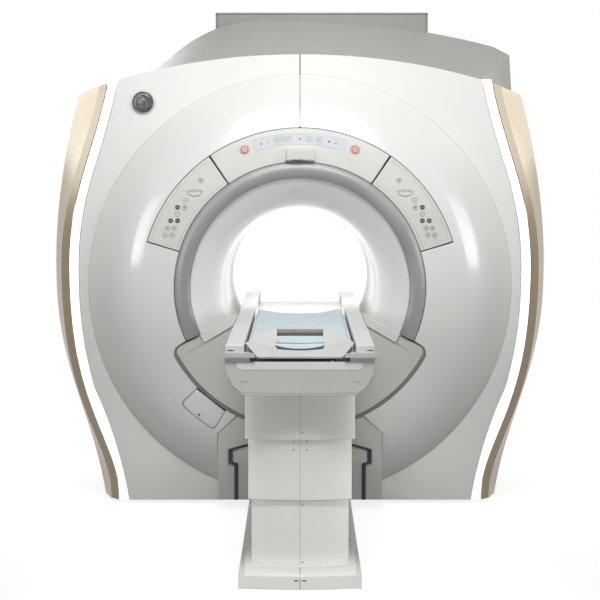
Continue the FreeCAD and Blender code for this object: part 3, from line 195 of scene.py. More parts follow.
bore_white = finish("bore_gelcoat", MOULDED, 0.06, 0.0004, {"Coat Weight": 0.35, "Coat Roughness": 0.2},
                    colour=(246, 246, 244), shade=(241, 241, 239), cloud_scale=2.5,
                    grain_scale=420.0, roughness=0.34, spread=0.03)
dress(bore_white, "bore_tube", "bore_funnel")
bridge_white = finish("bridge_paint", MOULDED, 0.15, 0.0004, {}, colour=(238, 238, 236),
                      shade=(228, 228, 226), cloud_scale=6.0, grain_scale=700.0, roughness=0.42)
dress(bridge_white, "bore_bridge")


# ---------------------------------------------------------------- side panels
# Long two-facet panels in champagne metallic paint, and the plainer covers behind them.
# Vacuum-formed sheet, sprayed, hung on the magnet's frame along the light strips.

def flake_skin():
    """Metallic paint: tiny flakes that differ in tone, over slow clouds."""
    tree, given, out = skin_group("flake_skin", (
        ("Colour", "Color", GREY), ("Shade", "Color", GREY), ("Flake Scale", "Float", 1400.0),
        ("Roughness", "Float", 0.36), ("Spread", "Float", 0.06)))
    place = add(tree, "TexCoord").outputs["Object"]
    flake = add(tree, "TexVoronoi", {"Vector": place, "Scale": given["Flake Scale"]})
    bright = add(tree, "SeparateColor", {0: flake.outputs["Color"]})
    cloud = add(tree, "TexNoise", {"Vector": place, "Scale": 1.6, "Detail": 2.0})
    share = reckon(tree, "MULTIPLY_ADD", bright.outputs[0], 0.55, cloud.outputs["Fac"])
    tone = blend(tree, span(tree, share, 0.4, 1.2), given["Shade"], given["Colour"])
    return deliver(tree, given, out, tone, bright.outputs[1], bright.outputs[2])


FLAKE = flake_skin()
# depth of the fold between the facets, and the painted shade tint for the narrow facet, which lies in shade
FOLD, FOLD_WIDTH = 0.4375, 0.002
FACET_SHADE_TINT = (0.62, 0.55, 0.43, 1.0)
SIDES = ((-1, "left"), (1, "right"))


def champagne_paint():
    """Champagne on the wide facet; the narrow one in front of the fold gets painted shade, a deeper gold."""
    made = finish("champagne_metallic", FLAKE, 0.04, 0.0002,
                  {"Metallic": 0.15, "Coat Weight": 0.2, "Coat Roughness": 0.2, "Specular IOR Level": 0.25},
                  colour=(212, 195, 163), shade=(198, 180, 147))
    tree = made.node_tree
    depth = add(tree, "SeparateXYZ", {0: add(tree, "TexCoord").outputs["Object"]}).outputs["Y"]
    narrow = span(tree, depth, FOLD, FOLD + FOLD_WIDTH, 1.0, 0.0)
    # painted shade: the narrow facet is multiplied to a deeper gold
    tone = blend(tree, narrow, tree.nodes["Group"].outputs["Colour"], FACET_SHADE_TINT, blend_type="MULTIPLY")
    tree.links.new(tone, tree.nodes["Principled BSDF"].inputs["Base Color"])
    return made


champagne = champagne_paint()
dress(champagne, "side_panel_left", "side_panel_right", "magnet_cover_left", "magnet_cover_right")


def stand(name, data):
    """A new object in the scene."""
    made = bpy.data.objects.new(name, data)
    scene.collection.objects.link(made)
    return made


def build(name, mesh, made, body, smooth=35):
    """Puts a mesh into the scene as a piece of its own, on the body that carries it."""
    mesh.name = name
    mesh.materials.append(made)
    mesh.shade_smooth()
    mesh.set_sharp_from_angle(angle=math.radians(smooth))
    piece = stand(name, mesh)
    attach(piece, body)
    return piece


def closed(bm):
    """A mesh from the edit mesh, with its faces turned outwards."""
    bmesh.ops.recalc_face_normals(bm, faces=bm.faces)
    mesh = bpy.data.meshes.new("mesh")
    bm.to_mesh(mesh)
    bm.free()
    return mesh


def lofted(rows):
    """A closed mesh through rows of points: each row is a closed outline, and the end rows are faces."""
    bm = bmesh.new()
    rings = [[bm.verts.new(point) for point in row] for row in rows]
    for low, high in zip(rings, rings[1:]):
        for i in range(len(low)):
            bm.faces.new((low[i - 1], low[i], high[i], high[i - 1]))
    bm.faces.new(rings[0])
    bm.faces.new(rings[-1])
    return closed(bm)


def slab(top, height):
    """A level plate under an outline."""
    return lofted([top, [Vector(p) - Vector((0, 0, height)) for p in top]])


# caps that close the upper ends of the panels, between panel, light strip and roof
CAP_SHEET = 0.006
CAP = ((0.838, 0.398, 1.948), (0.892, 0.398, 1.958), (0.899, 0.381, 1.958), (0.934, 0.446, 1.948),
       (1.036, 0.604, 1.9155), (1.008, 0.998, 1.924), (0.985, 0.998, 1.926), (0.985, 0.880, 1.928),
       (0.900, 0.600, 1.935))
for side, word in SIDES:
    build(f"panel_cap_{word}", slab([(side * x, y, z) for x, y, z in CAP], CAP_SHEET),
          champagne, "gantry")


# ---------------------------------------------------------------- roof, turret and rear cover
# Grey satin-painted laminate: the long top cover with its end facet, the box over the cold
# head with a loose lid, and the rear cover round the flared far mouth of the bore.

roof_grey = finish("roof_satin", MOULDED, 0.1, 0.0005, {"Specular IOR Level": 0.12},
                   edge=0.004, colour=(192, 191, 187), shade=(185, 184, 180), cloud_scale=1.4,
                   grain_scale=520.0, roughness=0.42)
dress(roof_grey, "top_cover", "rear_cover")
turret_grey = finish("turret_satin", MOULDED, 0.1, 0.0005, {"Specular IOR Level": 0.12}, edge=0.005,
                     colour=(160, 160, 156), shade=(153, 153, 149), cloud_scale=2.0,
                     grain_scale=520.0, roughness=0.48)
dress(turret_grey, "turret_cover", "turret_lid")

# dark joint and painted shadow line under the turret's lid, and the joints, screws and painted vent shade of
# the rear cover
joint_and_shadow_grey = finish("joint_shadow", MOULDED, 0.2, 0.0002, {}, colour=(74, 75, 75), shade=(62, 63, 63),
                    cloud_scale=30.0, grain_scale=1200.0, roughness=0.6)
TURRET_X, TURRET_Y, TURRET_HALF, TURRET_DEEP = 0.107, 1.35, 0.522, 0.35
CORNER, PROUD, JOINT_TOP = 0.02, 0.0005, 2.3245
corners = [(TURRET_X + a * (TURRET_HALF - CORNER) + (CORNER + PROUD) * math.cos(t),
            TURRET_Y + b * (TURRET_DEEP - CORNER) + (CORNER + PROUD) * math.sin(t), JOINT_TOP)
           for a, b, start in ((1, 1, 0), (-1, 1, 90), (-1, -1, 180), (1, -1, 270))
           for t in [math.radians(start + 15 * i) for i in range(7)]]
# painted shadow: the dark band under the lid stands in for the lid's shadow as well as its joint
build("turret_lid_joint_and_shadow", slab(corners, 0.0025), joint_and_shadow_grey, "gantry")


def block(bm, middle, sides):
    """Adds a block to the edit mesh."""
    bmesh.ops.create_cube(bm, size=1.0, matrix=Matrix.Translation(middle) @ Matrix.Diagonal((*sides, 1.0)))


REAR_FACE = 1.893
bm = bmesh.new()
for left, right, low, high in ((-0.0012, 0.0012, 1.585, 2.24), (-0.0012, 0.0012, 0.03, 0.455),
                               (-1.05, -0.565, 1.0188, 1.0212), (0.565, 1.05, 1.0188, 1.0212)):
    block(bm, ((left + right) / 2, REAR_FACE + 0.0002, (low + high) / 2), (right - left, 0.0012, high - low))
# painted shade: dark bars stand in for the shade inside the vent slots
for column in (-0.62, 0.62):
    for row in range(9):
        block(bm, (column, REAR_FACE + 0.0005, 0.16 + 0.022 * row), (0.26, 0.0016, 0.008))
for row, reach in ((0.09, 0.76), (0.56, 0.90), (1.55, 0.90), (1.86, 0.84)):
    for column in (-reach, -0.35, 0.35, reach):
        bmesh.ops.create_cone(bm, cap_ends=True, segments=16, radius1=0.007, radius2=0.0055, depth=0.003,
                              matrix=Matrix.Translation((column, REAR_FACE + 0.0012, row))
                              @ Matrix.Rotation(-math.pi / 2, 4, "X"))
build("rear_joints_and_vent_shade", closed(bm), joint_and_shadow_grey, "gantry")


# ---------------------------------------------------------------- front covers
# Two mirrored mouldings in high-gloss white gel coat: a dome about the bore and a flat rim
# with barrel-shaped sides, split down the middle. The access hatch and the slanted lips are
# painted with them, and the hatch's latch is grey plastic.

# height of the bore's axis, then the radii and the depths of the fascia's edges and the dome's
AXIS = 1.02
FASCIA_BORE, FASCIA_RIM, CREASE = 0.580, 0.733, 0.986
BORE_DEPTH, FASCIA_DEPTH, RIM_DEPTH = 0.195, 0.215, 0.370


def gelcoat():
    """Glossy white, with a faint line of painted shade along the pressed crease where the dome meets the rim.
    """
    made = finish("cover_gelcoat", MOULDED, 0.05, 0.0004,
                  {"Coat Weight": 0.6, "Coat Roughness": 0.1, "Specular IOR Level": 0.25},
                  edge=0.004, colour=(240, 240, 237), shade=(234, 234, 231), cloud_scale=1.3,
                  grain_scale=260.0, roughness=0.3, spread=0.03)
    tree = made.node_tree
    place = add(tree, "VectorMath", {0: add(tree, "TexCoord").outputs["Object"], 1: (0.0, 0.0, AXIS)},
                operation="SUBTRACT")
    flat = add(tree, "VectorMath", {0: place.outputs[0], 1: (1.0, 0.0, 1.0)}, operation="MULTIPLY")
    reach = add(tree, "VectorMath", {0: flat.outputs[0]}, operation="LENGTH").outputs["Value"]
    # painted shade along the crease: darker within a few millimetres of its radius
    near = reckon(tree, "ABSOLUTE", reckon(tree, "SUBTRACT", reach, CREASE))
    line = span(tree, near, 0.0012, 0.0034, 0.16, 0.0)
    tone = blend(tree, line, tree.nodes["Group"].outputs["Colour"], paint(96, 96, 92))
    tree.links.new(tone, tree.nodes["Principled BSDF"].inputs["Base Color"])
    return made


dress(gelcoat(), "front_cover_left", "front_cover_right", "access_hatch", "cowl_lip_left", "cowl_lip_right")
latch_grey = finish("latch_plastic", MOULDED, 0.1, 0.0002, {}, colour=(112, 112, 110),
                    shade=(98, 98, 96), cloud_scale=60.0, grain_scale=1500.0, roughness=0.4)
dress(latch_grey, "hatch_latch")


def dome_depth(radius):
    """Depth of the front surface at a distance from the bore's axis, through its measured sections."""
    if radius >= CREASE:
        return RIM_DEPTH
    near, far, low, high, straight = FASCIA_BORE, FASCIA_RIM, BORE_DEPTH, FASCIA_DEPTH, 0.44
    if radius > FASCIA_RIM:
        near, far, low, high, straight = FASCIA_RIM, CREASE, FASCIA_DEPTH, RIM_DEPTH, 0.4965
    share = (radius - near) / (far - near)
    return low + (high - low) * (share * straight + share ** 2 * (1 - straight))


def swept(path, section, sides, outs):
    """A bar of one section along a path; the section's two axes are given at each point."""
    return lofted([[point + side * u + out * v for u, v in section]
                   for point, side, out in zip(path, sides, outs)])


rubber = finish("soft_rubber", MOULDED, 0.3, 0.0004, {}, colour=(52, 53, 54), shade=(40, 41, 42),
                cloud_scale=12.0, grain_scale=900.0, roughness=0.62)
SEAM_FOOT, SEAM_TOP = 0.7365, 1.0785
path = [Vector((0, dome_depth(r), AXIS + r)) for r in
        [SEAM_FOOT + (CREASE - SEAM_FOOT) * i / 40 for i in range(41)] + [1.0, 1.03, SEAM_TOP]]
runs = [(after - before).normalized() for before, after in zip([path[0]] + path[:-1], path[1:] + [path[-1]])]
bead = [(-0.0030, -0.001), (-0.0030, 0.0002), (-0.0022, 0.0008),
        (0.0022, 0.0008), (0.0030, 0.0002), (0.0030, -0.001)]
grey_bead = finish("seam_bead", MOULDED, 0.2, 0.0003, {}, colour=(126, 126, 124), shade=(112, 112, 110),
                   cloud_scale=20.0, grain_scale=900.0, roughness=0.5)
outwards = [Vector((0, -run.z, run.y)) for run in runs]
build("cover_seam_bead", swept(path, bead, [Vector((1, 0, 0))] * len(path), outwards),
      grey_bead, "gantry")


# ---------------------------------------------------------------- light strips
# Frosted diffusers over rows of warm white diodes, between the front covers and the panels.
# Extruded acrylic, snapped in from the front.

# turn of the brightness wave for each metre of strip
DIODES = 180.0


def lit_diffuser():
    """Frosted acrylic lit from behind, a little brighter over each diode."""
    made = finish("lit_diffuser", MOULDED, 0.05, 0.0002, {"Emission Strength": 0.9},
                  colour=(250, 249, 240), shade=(246, 244, 232), cloud_scale=4.0,
                  grain_scale=600.0, roughness=0.45)
    tree = made.node_tree
    high = add(tree, "SeparateXYZ", {0: add(tree, "TexCoord").outputs["Object"]}).outputs["Z"]
    wave = reckon(tree, "SINE", reckon(tree, "MULTIPLY", high, DIODES))
    tone = blend(tree, span(tree, wave, -1.0, 1.0), (1.0, 0.97, 0.86, 1.0), (1.0, 0.99, 0.93, 1.0))
    tree.links.new(tone, tree.nodes["Principled BSDF"].inputs["Emission Color"])
    return made


dress(lit_diffuser(), "light_strip_left", "light_strip_right")


# ---------------------------------------------------------------- bore ring and control fascia
# A grey ring round the funnel's mouth, then three curved panels of satin plastic over the
# bore: keypads at the sides, the status display, stop buttons and alignment light between.

fascia_grey = finish("fascia_plastic", MOULDED, 0.12, 0.0003, {"Coat Weight": 0.1}, edge=0.002,
                     colour=(222, 222, 218), shade=(217, 217, 213), cloud_scale=5.0,
                     grain_scale=1100.0, roughness=0.4)
dress(fascia_grey, "fascia_left", "fascia_centre", "fascia_right", "alignment_light")
ring_grey = finish("ring_satin", BRUSHED, 0.08, 0.0003, {"Metallic": 0.25}, colour=(157, 158, 156),
                   shade=(147, 148, 146), streaks=(6.0, 6.0, 6.0), roughness=0.4)
dress(ring_grey, "bore_ring")
display_pale = finish("display_glass", MOULDED, 0.02, 0.0002, {"Coat Weight": 0.7, "Coat Roughness": 0.08},
                      colour=(214, 218, 221), shade=(208, 213, 217), cloud_scale=14.0,
                      grain_scale=500.0, roughness=0.3)
dress(display_pale, "status_display")
stop_pink = finish("stop_cap", MOULDED, 0.08, 0.0002, {"Coat Weight": 0.4}, colour=(232, 205, 200),
                   shade=(226, 196, 190), cloud_scale=30.0, grain_scale=900.0, roughness=0.32)
dress(stop_pink, "stop_button_left", "stop_button_right")


def fascia_seat(x, z):
    """Point of the fascia's front surface at a place seen from the front."""
    return Vector((x, dome_depth(math.hypot(x, z - AXIS)), z))


def level_seat(depth):
    """Seat on a face at one depth that looks straight ahead."""
    return lambda x, z: Vector((x, depth, z))


BEFORE = -4.0


def front_of(name):
    """Seat on the front of one of the frame's solids, found by looking at it from before the table."""
    def seat(x, z):
        found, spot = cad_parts[name].ray_cast(Vector((x, BEFORE, z)), Vector((0.0, 1.0, 0.0)))[:2]
        return spot if found else Vector((x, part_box(name)[0][1], z))
    return seat


def line_outline(points, width):
    """Closed outline of a thin line through points."""
    near, far = [], []
    for i, (u, v) in enumerate(points):
        a, b = points[max(i - 1, 0)], points[min(i + 1, len(points) - 1)]
        run = math.hypot(b[0] - a[0], b[1] - a[1])
        du, dv = (a[1] - b[1]) / run * width / 2, (b[0] - a[0]) / run * width / 2
        near.append((u + du, v + dv))
        far.append((u - du, v - dv))
    return near + far[::-1]


def stamp(bm, loops, seat, rise, sink=0.0006):
    """Adds a thin raised mark to the edit mesh: an outline, or an outline and the hole in it."""
    rings = []
    for loop in loops:
        top = [bm.verts.new(seat(u, v) + Vector((0, -rise, 0))) for u, v in loop]
        low = [bm.verts.new(seat(u, v) + Vector((0, sink, 0))) for u, v in loop]
        for i in range(len(loop)):
            bm.faces.new((top[i - 1], top[i], low[i], low[i - 1]))
        rings.append(top)
    if len(rings) == 1:
        bm.faces.new(rings[0])
    else:
        outer, inner = rings
        for i in range(len(outer)):
            bm.faces.new((outer[i - 1], outer[i], inner[i], inner[i - 1]))


def marks(name, stamps, made, body):
    """A piece of thin raised marks: the loops of each, its seat and its rise."""
    bm = bmesh.new()
    for loops, seat, rise in stamps:
        stamp(bm, loops, seat, rise)
    build(name, closed(bm), made, body)


def circle(x, z, radius, count=20, height=None):
    """Outline of a disc, or of an oval where its half height is given."""
    return [(x + radius * math.cos(t), z + (height or radius) * math.sin(t))
            for t in [2 * math.pi * i / count for i in range(count)]]


def steps(half):
    """Even steps from -1 to 1."""
    return [i / half - 1 for i in range(2 * half + 1)]


def turned_outline(points, x, z, size, angle=0.0):
    """A small outline drawn about nought, scaled, turned and put in its place."""
    c, s = math.cos(angle) * size, math.sin(angle) * size
    return [(x + u * c - v * s, z + u * s + v * c) for u, v in points]


ARROW = [(-0.9, -0.35), (0.0, -0.35), (0.0, -0.8), (0.9, 0.0), (0.0, 0.8), (0.0, 0.35), (-0.9, 0.35)]
WEDGE = [(-0.7, -0.8), (0.8, 0.0), (-0.7, 0.8)]
BAR = [(-0.9, -0.18), (0.9, -0.18), (0.9, 0.18), (-0.9, 0.18)]
DROP = [(-0.6, -0.8), (0.0, -0.8), (0.6, -0.45), (0.8, 0.0), (0.6, 0.45), (0.0, 0.8), (-0.6, 0.8)]

# keys as the keypad's drawing gives them: radius, angle outwards from the keypad's middle, kind
KEYS = ((0.671, -11.3, "power"), (0.662, -1.3, "bar"), (0.673, 2.7, "dark"), (0.645, 1.2, "drop"),
        (0.656, 5.0, "bar"), (0.669, 8.6, "dark"), (0.641, 7.3, "dark"), (0.667, 11.8, "drop"),
        (0.640, 10.7, "drop"), (0.665, 14.7, "wedge"), (0.635, 13.6, "arrow"))
# angle of the keypad's middle, rise of the keys, and the place of the fan of marks
KEYPAD_TURN, KEY_RISE = 54, 0.0015
FAN_X, FAN_Z = 0.4835, AXIS + 0.4385
GLYPHS = {"bar": BAR, "drop": DROP, "wedge": WEDGE, "arrow": ARROW, "dark": ARROW}

# dark print for keys, screws and joins, and also painted shade in the rails' slots
ink_and_shade = finish("key_ink_and_slot_shade", MOULDED, 0.1, 0.0001, {}, colour=(108, 109, 108), shade=(96, 97, 96),
             cloud_scale=80.0, grain_scale=2400.0, roughness=0.5)
dark_ink = finish("key_dark_ink", MOULDED, 0.1, 0.0001, {}, colour=(84, 85, 84), shade=(72, 73, 72),
                  cloud_scale=80.0, grain_scale=2400.0, roughness=0.45)
# pale print for the keypads, also used as painted shade lines on the cradle's end cap
pale_ink_and_shade = finish("keypad_ink_and_cap_shade", MOULDED, 0.1, 0.0001, {}, colour=(178, 178, 174),
                  shade=(170, 170, 166), cloud_scale=60.0, grain_scale=2400.0, roughness=0.5)


def bent_pane(left, right, low, high, count=10, side=1):
    """Outline of a window that follows the bore's arc: angles in degrees, radii in metres."""
    turn = [math.radians(left + (right - left) * i / count) for i in range(count + 1)]
    return ([(side * high * math.sin(t), AXIS + high * math.cos(t)) for t in turn]
            + [(side * low * math.sin(t), AXIS + low * math.cos(t)) for t in reversed(turn)])


for side, word in SIDES:
    facing = 0 if side > 0 else math.pi
    lines, darks, pales = [], [], []
    for radius, lean, kind in KEYS:
        angle = math.radians(KEYPAD_TURN + lean)
        x, z = side * radius * math.sin(angle), AXIS + radius * math.cos(angle)
        seat = level_seat(dome_depth(radius) - KEY_RISE)
        if kind == "dark":
            darks.append(([circle(x, z, 0.0112)], seat, 0.0004))
            pales.append(([turned_outline(GLYPHS[kind], x, z, 0.0045, facing)], seat, 0.0008))
            continue
        lines.append(([circle(x, z, 0.0117), circle(x, z, 0.0100)], seat, 0.0004))
        if kind == "power":
            lines.append(([circle(x, z, 0.0058), circle(x, z, 0.0042)], seat, 0.0004))
            lines.append(([turned_outline(BAR, x, z, 0.0062, math.pi / 2)], seat, 0.0005))
        else:
            lines.append(([turned_outline(GLYPHS[kind], x, z, 0.0055, facing)], seat, 0.0004))
    # fan of small marks over a curved base, beside the keys
    for step in range(-2, 3):
        x, z = side * FAN_X + step * 0.0155, FAN_Z + 0.008 - 0.0011 * step * step
        lines.append(([circle(x, z, 0.0058, 12), circle(x, z, 0.0041, 12)], fascia_seat, 0.0005))
        lines.append(([turned_outline(BAR, x, z, 0.0030, math.pi / 2)], fascia_seat, 0.0005))
    base = [(side * FAN_X + 0.036 * u, FAN_Z - 0.006 - 0.014 * (1 - u * u)) for u in steps(8)]
    base += [(side * FAN_X + 0.032 * u, FAN_Z - 0.006 - 0.010 * (1 - u * u)) for u in reversed(steps(8))]
    lines.append(([base], fascia_seat, 0.0005))
    # fine line set in from the edge of the keypad
    border = [bent_pane(KEYPAD_TURN - sweep, KEYPAD_TURN + sweep, low, high, 30, side)
              for low, high, sweep in ((0.5925, 0.7205, 17.95), (0.5940, 0.7190, 17.82))]
    pales.append((border, fascia_seat, 0.0003))
    marks(f"keypad_{word}_lines", lines, ink_and_shade, "gantry")
    marks(f"keypad_{word}_dark_keys", darks, dark_ink, "gantry")
    marks(f"keypad_{word}_border", pales, pale_ink_and_shade, "gantry")


DISPLAY_LOW, DISPLAY_DEPTH, DISPLAY_LEAN = 0.660, 0.201, 0.15


def display_seat(x, z):
    """Point of the display's face at a place seen from the front."""
    return Vector((x, DISPLAY_DEPTH + (math.hypot(x, z - AXIS) - DISPLAY_LOW) * DISPLAY_LEAN, z))


pane_grey = finish("display_pane", MOULDED, 0.02, 0.0001, {"Coat Weight": 0.8, "Coat Roughness": 0.05},
                   colour=(202, 206, 209), shade=(196, 200, 203), cloud_scale=30.0,
                   grain_scale=900.0, roughness=0.25)
marks("display_panes", [([bent_pane(left, right, 0.670, 0.700)], display_seat, 0.0004)
                        for left, right in ((-10.2, -3.2), (2.1, 5.0), (6.2, 8.3))],
      pane_grey, "gantry")
ICON_ARC, ICON_SIZE = 0.684, 0.0062
icons = []
for angle, shape, turn in ((-15.0, WEDGE, 0.4), (-12.4, BAR, 0.2), (0.0, WEDGE, 1.57), (11.2, DROP, 1.4),
                           (13.8, WEDGE, 2.6)):
    x, z = ICON_ARC * math.sin(math.radians(angle)), AXIS + ICON_ARC * math.cos(math.radians(angle))
    icons.append(([turned_outline(shape, x, z, ICON_SIZE, turn)], display_seat, 0.0005))
marks("display_icons", icons, dark_ink, "gantry")

stop_red = finish("stop_ring_red", MOULDED, 0.08, 0.0002, {"Coat Weight": 0.3}, colour=(214, 112, 98),
                  shade=(204, 98, 86), cloud_scale=40.0, grain_scale=1200.0, roughness=0.38)
STOP_X, STOP_Z, STOP_FACE = 0.254, AXIS + 0.636, 0.194
for side, word in SIDES:
    x, z = side * STOP_X, STOP_Z
    shapes = [[circle(x, z, 0.0168, 28), circle(x, z, 0.0128, 28)]]
    for t in map(math.radians, (90, 210, 330)):
        shapes.append([turned_outline(BAR, x + 0.0052 * math.cos(t), z + 0.0052 * math.sin(t), 0.0062, t)])
    marks(f"stop_mark_{word}", [(shape, level_seat(STOP_FACE), 0.0005) for shape in shapes],
          stop_red, f"stop_button_{word}")
    # collar round the button, set in the fascia
    collar = [circle(x, z, 0.0232, 32), circle(x, z, 0.0204, 32)]
    marks(f"stop_collar_{word}", [(collar, fascia_seat, 0.0012)], fascia_grey, "gantry")

# rubber edges of the bore ring, and the small plug where the cover's seam meets the fascia
RING_START, RING_STEP = -114.5, 2.29
bead = [(-0.0012, -0.003), (-0.0012, 0.0012), (0.0012, 0.0012), (0.0012, -0.003)]
for name, radius, level in (("ring_edge_inner", 0.5050, 0.1925), ("ring_edge_outer", 0.5785, 0.1940)):
    turns = [math.radians(RING_START + RING_STEP * i) for i in range(101)]
    path = [Vector((radius * math.sin(t), level, AXIS + radius * math.cos(t))) for t in turns]
    outwards = [Vector((math.sin(t), 0, math.cos(t))) for t in turns]
    build(name, swept(path, bead, outwards, [Vector((0, -1, 0))] * len(path)),
          joint_and_shadow_grey, "gantry")
marks("seam_plug", [([circle(0.0, AXIS + 0.7375, 0.0042, 16)], fascia_seat, 0.0012)],
      rubber, "gantry")

# window of the alignment light, at the foot of its housing
window_black = finish("laser_window", MOULDED, 0.02, 0.0001, {"Coat Weight": 1.0}, colour=(46, 47, 50),
                      shade=(38, 39, 42), cloud_scale=50.0, grain_scale=900.0, roughness=0.15)
LIGHT_FACE = 0.162
slit = [(-0.040, 1.6035), (0.013, 1.6035), (0.013, 1.6088), (-0.040, 1.6088)]
marks("alignment_window", [([shape], level_seat(LIGHT_FACE), 0.0006)
                           for shape in (slit, circle(0.026, 1.6064, 0.0026, 12))],
      window_black, "gantry")


# ---------------------------------------------------------------- cowl, gasket and kick panel
# Grey plate under the bore in a darker band, partly rubber gasket and partly painted shade of the plate's
# bevelled edge, and the kick panel below it with the moulded seal that the table's base docks against.

cowl_grey = finish("cowl_satin", MOULDED, 0.1, 0.0003, {"Coat Weight": 0.1}, edge=0.003,
                   colour=(214, 213, 209), shade=(208, 207, 203), cloud_scale=3.0,
                   grain_scale=800.0, roughness=0.4)
dress(cowl_grey, "lower_cowl", "kick_panel")
# gasket and painted shade: the band round the cowl is darker both for its rubber and for the shade on its
# bevel
gasket_and_shade_grey = finish("gasket_rubber_and_shade", MOULDED, 0.3, 0.0004, {}, edge=0.003, colour=(154, 154, 151),
                     shade=(140, 140, 137), cloud_scale=10.0, grain_scale=900.0, roughness=0.6)
dress(gasket_and_shade_grey, "cowl_gasket")
dress(rubber, "dock_seal")
marks("cowl_creases", [([line_outline(points, width)], front_of(name), 0.0004) for name, width, points in (
    ("lower_cowl", 0.0016, [(-0.5193, 0.7202), (-0.4517, 0.7621)]),
    ("lower_cowl", 0.0016, [(0.4443, 0.7653), (0.5120, 0.7170)]),
    ("cowl_lip_left", 0.0030, [(-0.4580, 0.7943), (-0.4388, 0.7685)]),
    ("cowl_lip_right", 0.0030, [(0.4572, 0.8003), (0.4443, 0.7681)]))], ink_and_shade, "gantry")


# ---------------------------------------------------------------- badge
# Plain round badge in smoked metal on a pale mount, with turned rings and no marks.
# Die-cast and lacquered, pushed into the rim at the upper left.

mount_pale = finish("badge_mount", MOULDED, 0.08, 0.0002, {"Coat Weight": 0.3}, colour=(222, 222, 219),
                    shade=(214, 214, 211), cloud_scale=20.0, grain_scale=800.0, roughness=0.35)
dress(mount_pale, "badge")
smoked = finish("smoked_metal", BRUSHED, 0.25, 0.0003, {"Metallic": 0.9, "Coat Weight": 0.6},
                colour=(112, 113, 114), shade=(64, 65, 67), streaks=(60.0, 4.0, 50.0), roughness=0.34)


def lathe(profile, centre, count=48):
    """A closed round piece about a line along y: (radius, depth) pairs from rim to middle."""
    return lofted([[centre + Vector((x, depth, z)) for x, z in circle(0.0, 0.0, radius, count)]
                   for radius, depth in profile])


turned = [(0.0492, 0.0), (0.0492, -0.004), (0.0475, -0.0062), (0.0450, -0.0062), (0.0435, -0.0040),
          (0.0420, -0.0030), (0.0330, -0.0044), (0.0318, -0.0056), (0.0298, -0.0056), (0.0286, -0.0044),
          (0.0180, -0.0050), (0.0168, -0.0062), (0.0120, -0.0074), (0.0050, -0.0080)]
build("badge_face", lathe(turned, Vector((-0.731, 0.358, AXIS + 0.856))), smoked, "gantry")


# ---------------------------------------------------------------- table base and lift
# Painted steel base plate with its long rear part, the lift's steel tubes and screw with a
# bronze nut, and three bowed sheet covers that slide over each other.

base_grey = finish("base_powder_coat", MOULDED, 0.25, 0.0004, {}, edge=0.005, colour=(240, 239, 235),
                   shade=(233, 232, 228), cloud_scale=4.0, grain_scale=500.0, roughness=0.45)
dress(base_grey, "table_base")
pedestal_grey = finish("pedestal_paint", MOULDED, 0.15, 0.0004, {"Coat Weight": 0.1}, edge=0.005,
                       colour=(226, 225, 221), shade=(220, 219, 215), cloud_scale=2.4,
                       grain_scale=700.0, roughness=0.4)
dress(pedestal_grey, "lower_column_cover", "middle_column_cover", "upper_column_cover")
lift_steel = finish("ground_steel", BRUSHED, 0.15, 0.0002, {"Metallic": 1.0}, colour=(200, 201, 203),
                    shade=(176, 178, 181), streaks=(3.0, 3.0, 900.0), roughness=0.26)
dress(lift_steel, "lift_column", "lift_ram", "lift_screw")
bronze = finish("cast_bronze", BRUSHED, 0.3, 0.0003, {"Metallic": 1.0}, colour=(186, 148, 92),
                shade=(150, 114, 66), streaks=(3.0, 3.0, 500.0), roughness=0.34)
dress(bronze, "lift_nut")

# meeting line of the covers' two halves, and their small countersunk screws
# this tone also paints shade: the lines in the housing's finger recesses and inside its rim
joint_and_shade_tone = finish("cover_joint_and_shade", MOULDED, 0.2, 0.0002, {}, colour=(150, 150, 147), shade=(138, 138, 135),
                   cloud_scale=20.0, grain_scale=1200.0, roughness=0.5)
for word, body, low, high, screws in (
        ("upper", "table_top", 0.557, 0.729, [(0.010, 0.584)]),
        ("middle", "middle_cover", 0.329, 0.577,
         [(-0.024, 0.5475), (0.025, 0.5475), (-0.024, 0.5176), (0.025, 0.5176)]),
        ("lower", "gantry", 0.086, 0.427, [(0.010, 0.308), (0.010, 0.094)])):
    seat = front_of(f"{word}_column_cover")
    line = line_outline([(0.0, low), (0.0, (low + high) / 2), (0.0, high)], 0.0014)
    marks(f"{word}_cover_marks_seam", [([line], seat, 0.0003)], joint_and_shade_tone, body)
    marks(f"{word}_cover_marks_screws", [([circle(x, z, 0.0030, 14)], seat, 0.0005) for x, z in screws],
          ink_and_shade, body)
seat = front_of("table_base")
marks("base_marks", [([line_outline([(0.0, 0.002), (0.0, 0.045)], 0.0022)], seat, 0.0003),
                     ([line_outline([(0.0, 0.053), (0.0, 0.082)], 0.0018)], seat, 0.0003),
                     ([circle(-0.0145, 0.034, 0.009, 16, 0.003)], seat, 0.0005),
                     ([circle(0.0155, 0.034, 0.009, 16, 0.003)], seat, 0.0005)], ink_and_shade, "gantry")


# ---------------------------------------------------------------- table top
# White rails along both sides, grey end blocks, a moulded housing under them and the black
# coil connector panel between. The drive belt and its pulleys run inside the housing.

